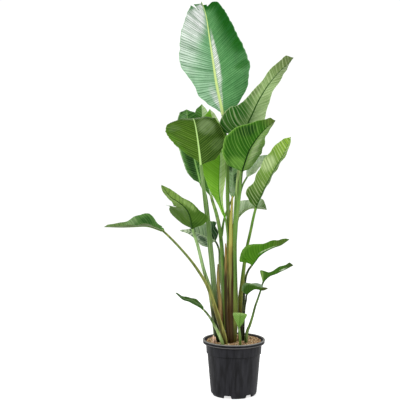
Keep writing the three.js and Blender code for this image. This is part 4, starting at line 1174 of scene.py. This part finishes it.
# The main shoot
# The trunk: eight leaf stalks that wrap each other at the foot and part higher up, and the remains of two
# spent leaves, one brown and pointed on the left, one yellow in the fork of the tall stalks.
pale_sheath = [
    [-14, -56, 214, 13], [-15, -57, 330, 13], [-16, -56, 440, 12.5], [-16, -55, 560, 12.5],
    [-17, -53, 647, 12], [-17, -51, 751, 9.5], [-15, -47, 869, 7.5], [-9, -42, 959, 3],
]
brown_sheath = [
    [-30, -54, 214, 13], [-28, -54, 300, 14], [-34, -54, 400, 12], [-38, -52, 500, 10.5],
    [-40, -50, 620, 8], [-42, -46, 735, 2.5],
]
for sheath, sheath_tone in [(pale_sheath, 2.0), (brown_sheath, 3.0)]:
    shoots["main"].append((*tube(sheath, [], (0, 1, 0.1)), sheath_tone))
add_stalks(
    "stalks_of_main_shoot",
    shoots["main"],
    dict(
        bands=[
            (0.2, 0x2e2206), (0.34, 0x362808), (0.44, 0x4c4212), (0.58, 0x6a762c), (0.82, 0x628a3a),
            (1.1, 0x709c46), (1.3, 0xbad284),
        ],
        streak=0x96a85a, streak_low=0x6c4e1e, dark=0x242c06, tone_shift=0.22,
        own=[(2.0, 0.54, 0x3e2a08, 0.8, 0xb8ac54), (3.0, 0.58, 0x38260a, 0.74, 0xac844a)],
    ),
    "main_shoot_stalks",
)

# The left shoot
# Three stalks that share one foot, dark at the soil and pale waxy green above.
add_stalks(
    "stalks_of_left_shoot",
    shoots["left"],
    dict(
        bands=[
            (0.28, 0x161804), (0.38, 0x30360e), (0.48, 0x869850), (0.6, 0x96b67a), (0.8, 0x769c4e),
            (1.1, 0x8cb462),
        ],
        streak=0xb0c892, dark=0x2c4214, tone_shift=0.1, channel=0x34541a, channel_amount=0.6,
    ),
    "left_shoot_stalks",
)

# The right shoot
# Three thinner stalks that share one foot, olive and reddish brown at the soil.
add_stalks(
    "stalks_of_right_shoot",
    shoots["right"],
    dict(
        bands=[(0.22, 0x3e2e14), (0.35, 0x806030), (0.48, 0x868a38), (0.64, 0x688e32), (0.85, 0x608e2e)],
        streak=0x96a054, dark=0x323a0e, tone_shift=0.25, own=[(0.6, 0.35, 0x141a04, 0.8, 0x26420e)],
    ),
    "right_shoot_stalks",
)

# The dried sheath
# The split, papery remains of a spent leaf stalk, standing left of the trunk.
dried_path = [
    [-56, -48, 214, 11], [-63, -48, 387, 11], [-68, -46, 464, 10.5], [-74, -45, 536, 9.5],
    [-76, -45, 590, 7.5], [-77, -45, 636, 3],
]
add_stalks(
    "spent_sheath",
    [(*tube(dried_path, [], (1, 0, 0), groove=0.35), 0.0)],
    dict(
        bands=[(0.25, 0x5c4224), (0.36, 0x84623e), (0.46, 0x9c8250), (0.58, 0x968a4e)], streak=0xceb880,
        dark=0x423016, roughness=0.75,
    ),
    "dried_sheath",
)

# The root loops
# Three thin pale roots that arch out of the soil at the left edge of the pot and dive in again.
root_radius = 2.0
root_depth = 5
root_feet = [
    ((-103, -66), (-95, -74), 40), ((-96, -70), (-86, -78), 34), ((-104, -80), (-96, -86), 18),
]
root_loops = []
for start, end, rise in root_feet:
    loop_path = []
    for f in (0, 0.2, 0.5, 0.8, 1):
        x, y = (a + (b - a) * f for a, b in zip(start, end))
        z = soil_level / MM - root_depth + (rise + root_depth) * math.sin(math.pi * f)
        loop_path.append([x, y, z, root_radius])
    root_loops.append((*tube(loop_path, [], (0, -1, 0), sides=10), 0.0))
points, quads, triangles, _, _ = tube_mesh(root_loops)
root_paint = Paint("pale root skin", 0.7, 0.2)
root_mottle = root_paint.noise(120).smooth(0.3, 0.7)
root_paint.colour(root_paint.mix(root_mottle, tint(0xe2b092), tint(0xffe2c8)))
make_piece("root_loops", points, quads, root_paint, [], triangles)

# The floor, the light and the camera
# A plain pale floor, a pale surround, three large soft lights and a view a little above the middle.
floor_mesh = bpy.data.meshes.new("floor")
floor_half = 12
floor_corners = [(x * floor_half, y * floor_half, 0) for x, y in [(-1, -1), (1, -1), (1, 1), (-1, 1)]]
floor_mesh.from_pydata(floor_corners, [], [(0, 1, 2, 3)])
floor_paint = Paint("pale floor", 0.9, 0.1)
floor_paint.shader.inputs["Base Color"].default_value = (0.85, 0.85, 0.85, 1)
floor_paint.shader.inputs["Emission Color"].default_value = (1, 1, 1, 1)
floor_paint.shader.inputs["Emission Strength"].default_value = 0.7
floor_mesh.materials.append(floor_paint.material)
floor = bpy.data.objects.new("floor", floor_mesh)
bpy.context.scene.collection.objects.link(floor)

world = bpy.data.worlds.new("studio")
world.use_nodes = True
bpy.context.scene.world = world
surround = world.node_tree.nodes["Background"]
surround.inputs["Color"].default_value = (1, 1, 1, 1)
surround.inputs["Strength"].default_value = 0.42
backdrop = world.node_tree.nodes.new("ShaderNodeBackground")
backdrop.inputs["Color"].default_value = (1, 1, 1, 1)
backdrop.inputs["Strength"].default_value = 1.05
seen = world.node_tree.nodes.new("ShaderNodeLightPath")
both = world.node_tree.nodes.new("ShaderNodeMixShader")
links = world.node_tree.links
links.new(seen.outputs["Is Camera Ray"], both.inputs[0])
links.new(surround.outputs[0], both.inputs[1])
links.new(backdrop.outputs[0], both.inputs[2])
links.new(both.outputs[0], world.node_tree.nodes["World Output"].inputs["Surface"])


def soft_light(name, position, target, size, power):
    """A square area light that looks at the target."""
    light = bpy.data.lights.new(name, "AREA")
    light.size = size
    light.energy = power
    lamp = bpy.data.objects.new(name, light)
    aim = np.array(target, float) - np.array(position, float)
    lamp.location = position
    lamp.rotation_euler = (
        math.atan2(math.hypot(aim[0], aim[1]), -aim[2]), 0, math.atan2(aim[1], aim[0]) - math.pi / 2,
    )
    bpy.context.scene.collection.objects.link(lamp)


soft_light("key light", (-2.6, -3.0, 3.4), (0, 0, 1.0), 1.6, 82)
soft_light("fill light", (3.0, -1.6, 2.4), (0, 0, 1.0), 2.2, 22)
soft_light("top light", (0.3, 1.6, 3.8), (0, 0, 1.0), 1.8, 34)

camera = bpy.data.cameras.new("camera")
camera.sensor_width = 36
camera.lens = 95.04
viewer = bpy.data.objects.new("camera", camera)
viewer.location = (-0.1627, -5.0, 1.362)
viewer.rotation_euler = (math.radians(85.136), 0, 0)
bpy.context.scene.collection.objects.link(viewer)
bpy.context.scene.camera = viewer
bpy.context.scene.view_settings.view_transform = "Standard"
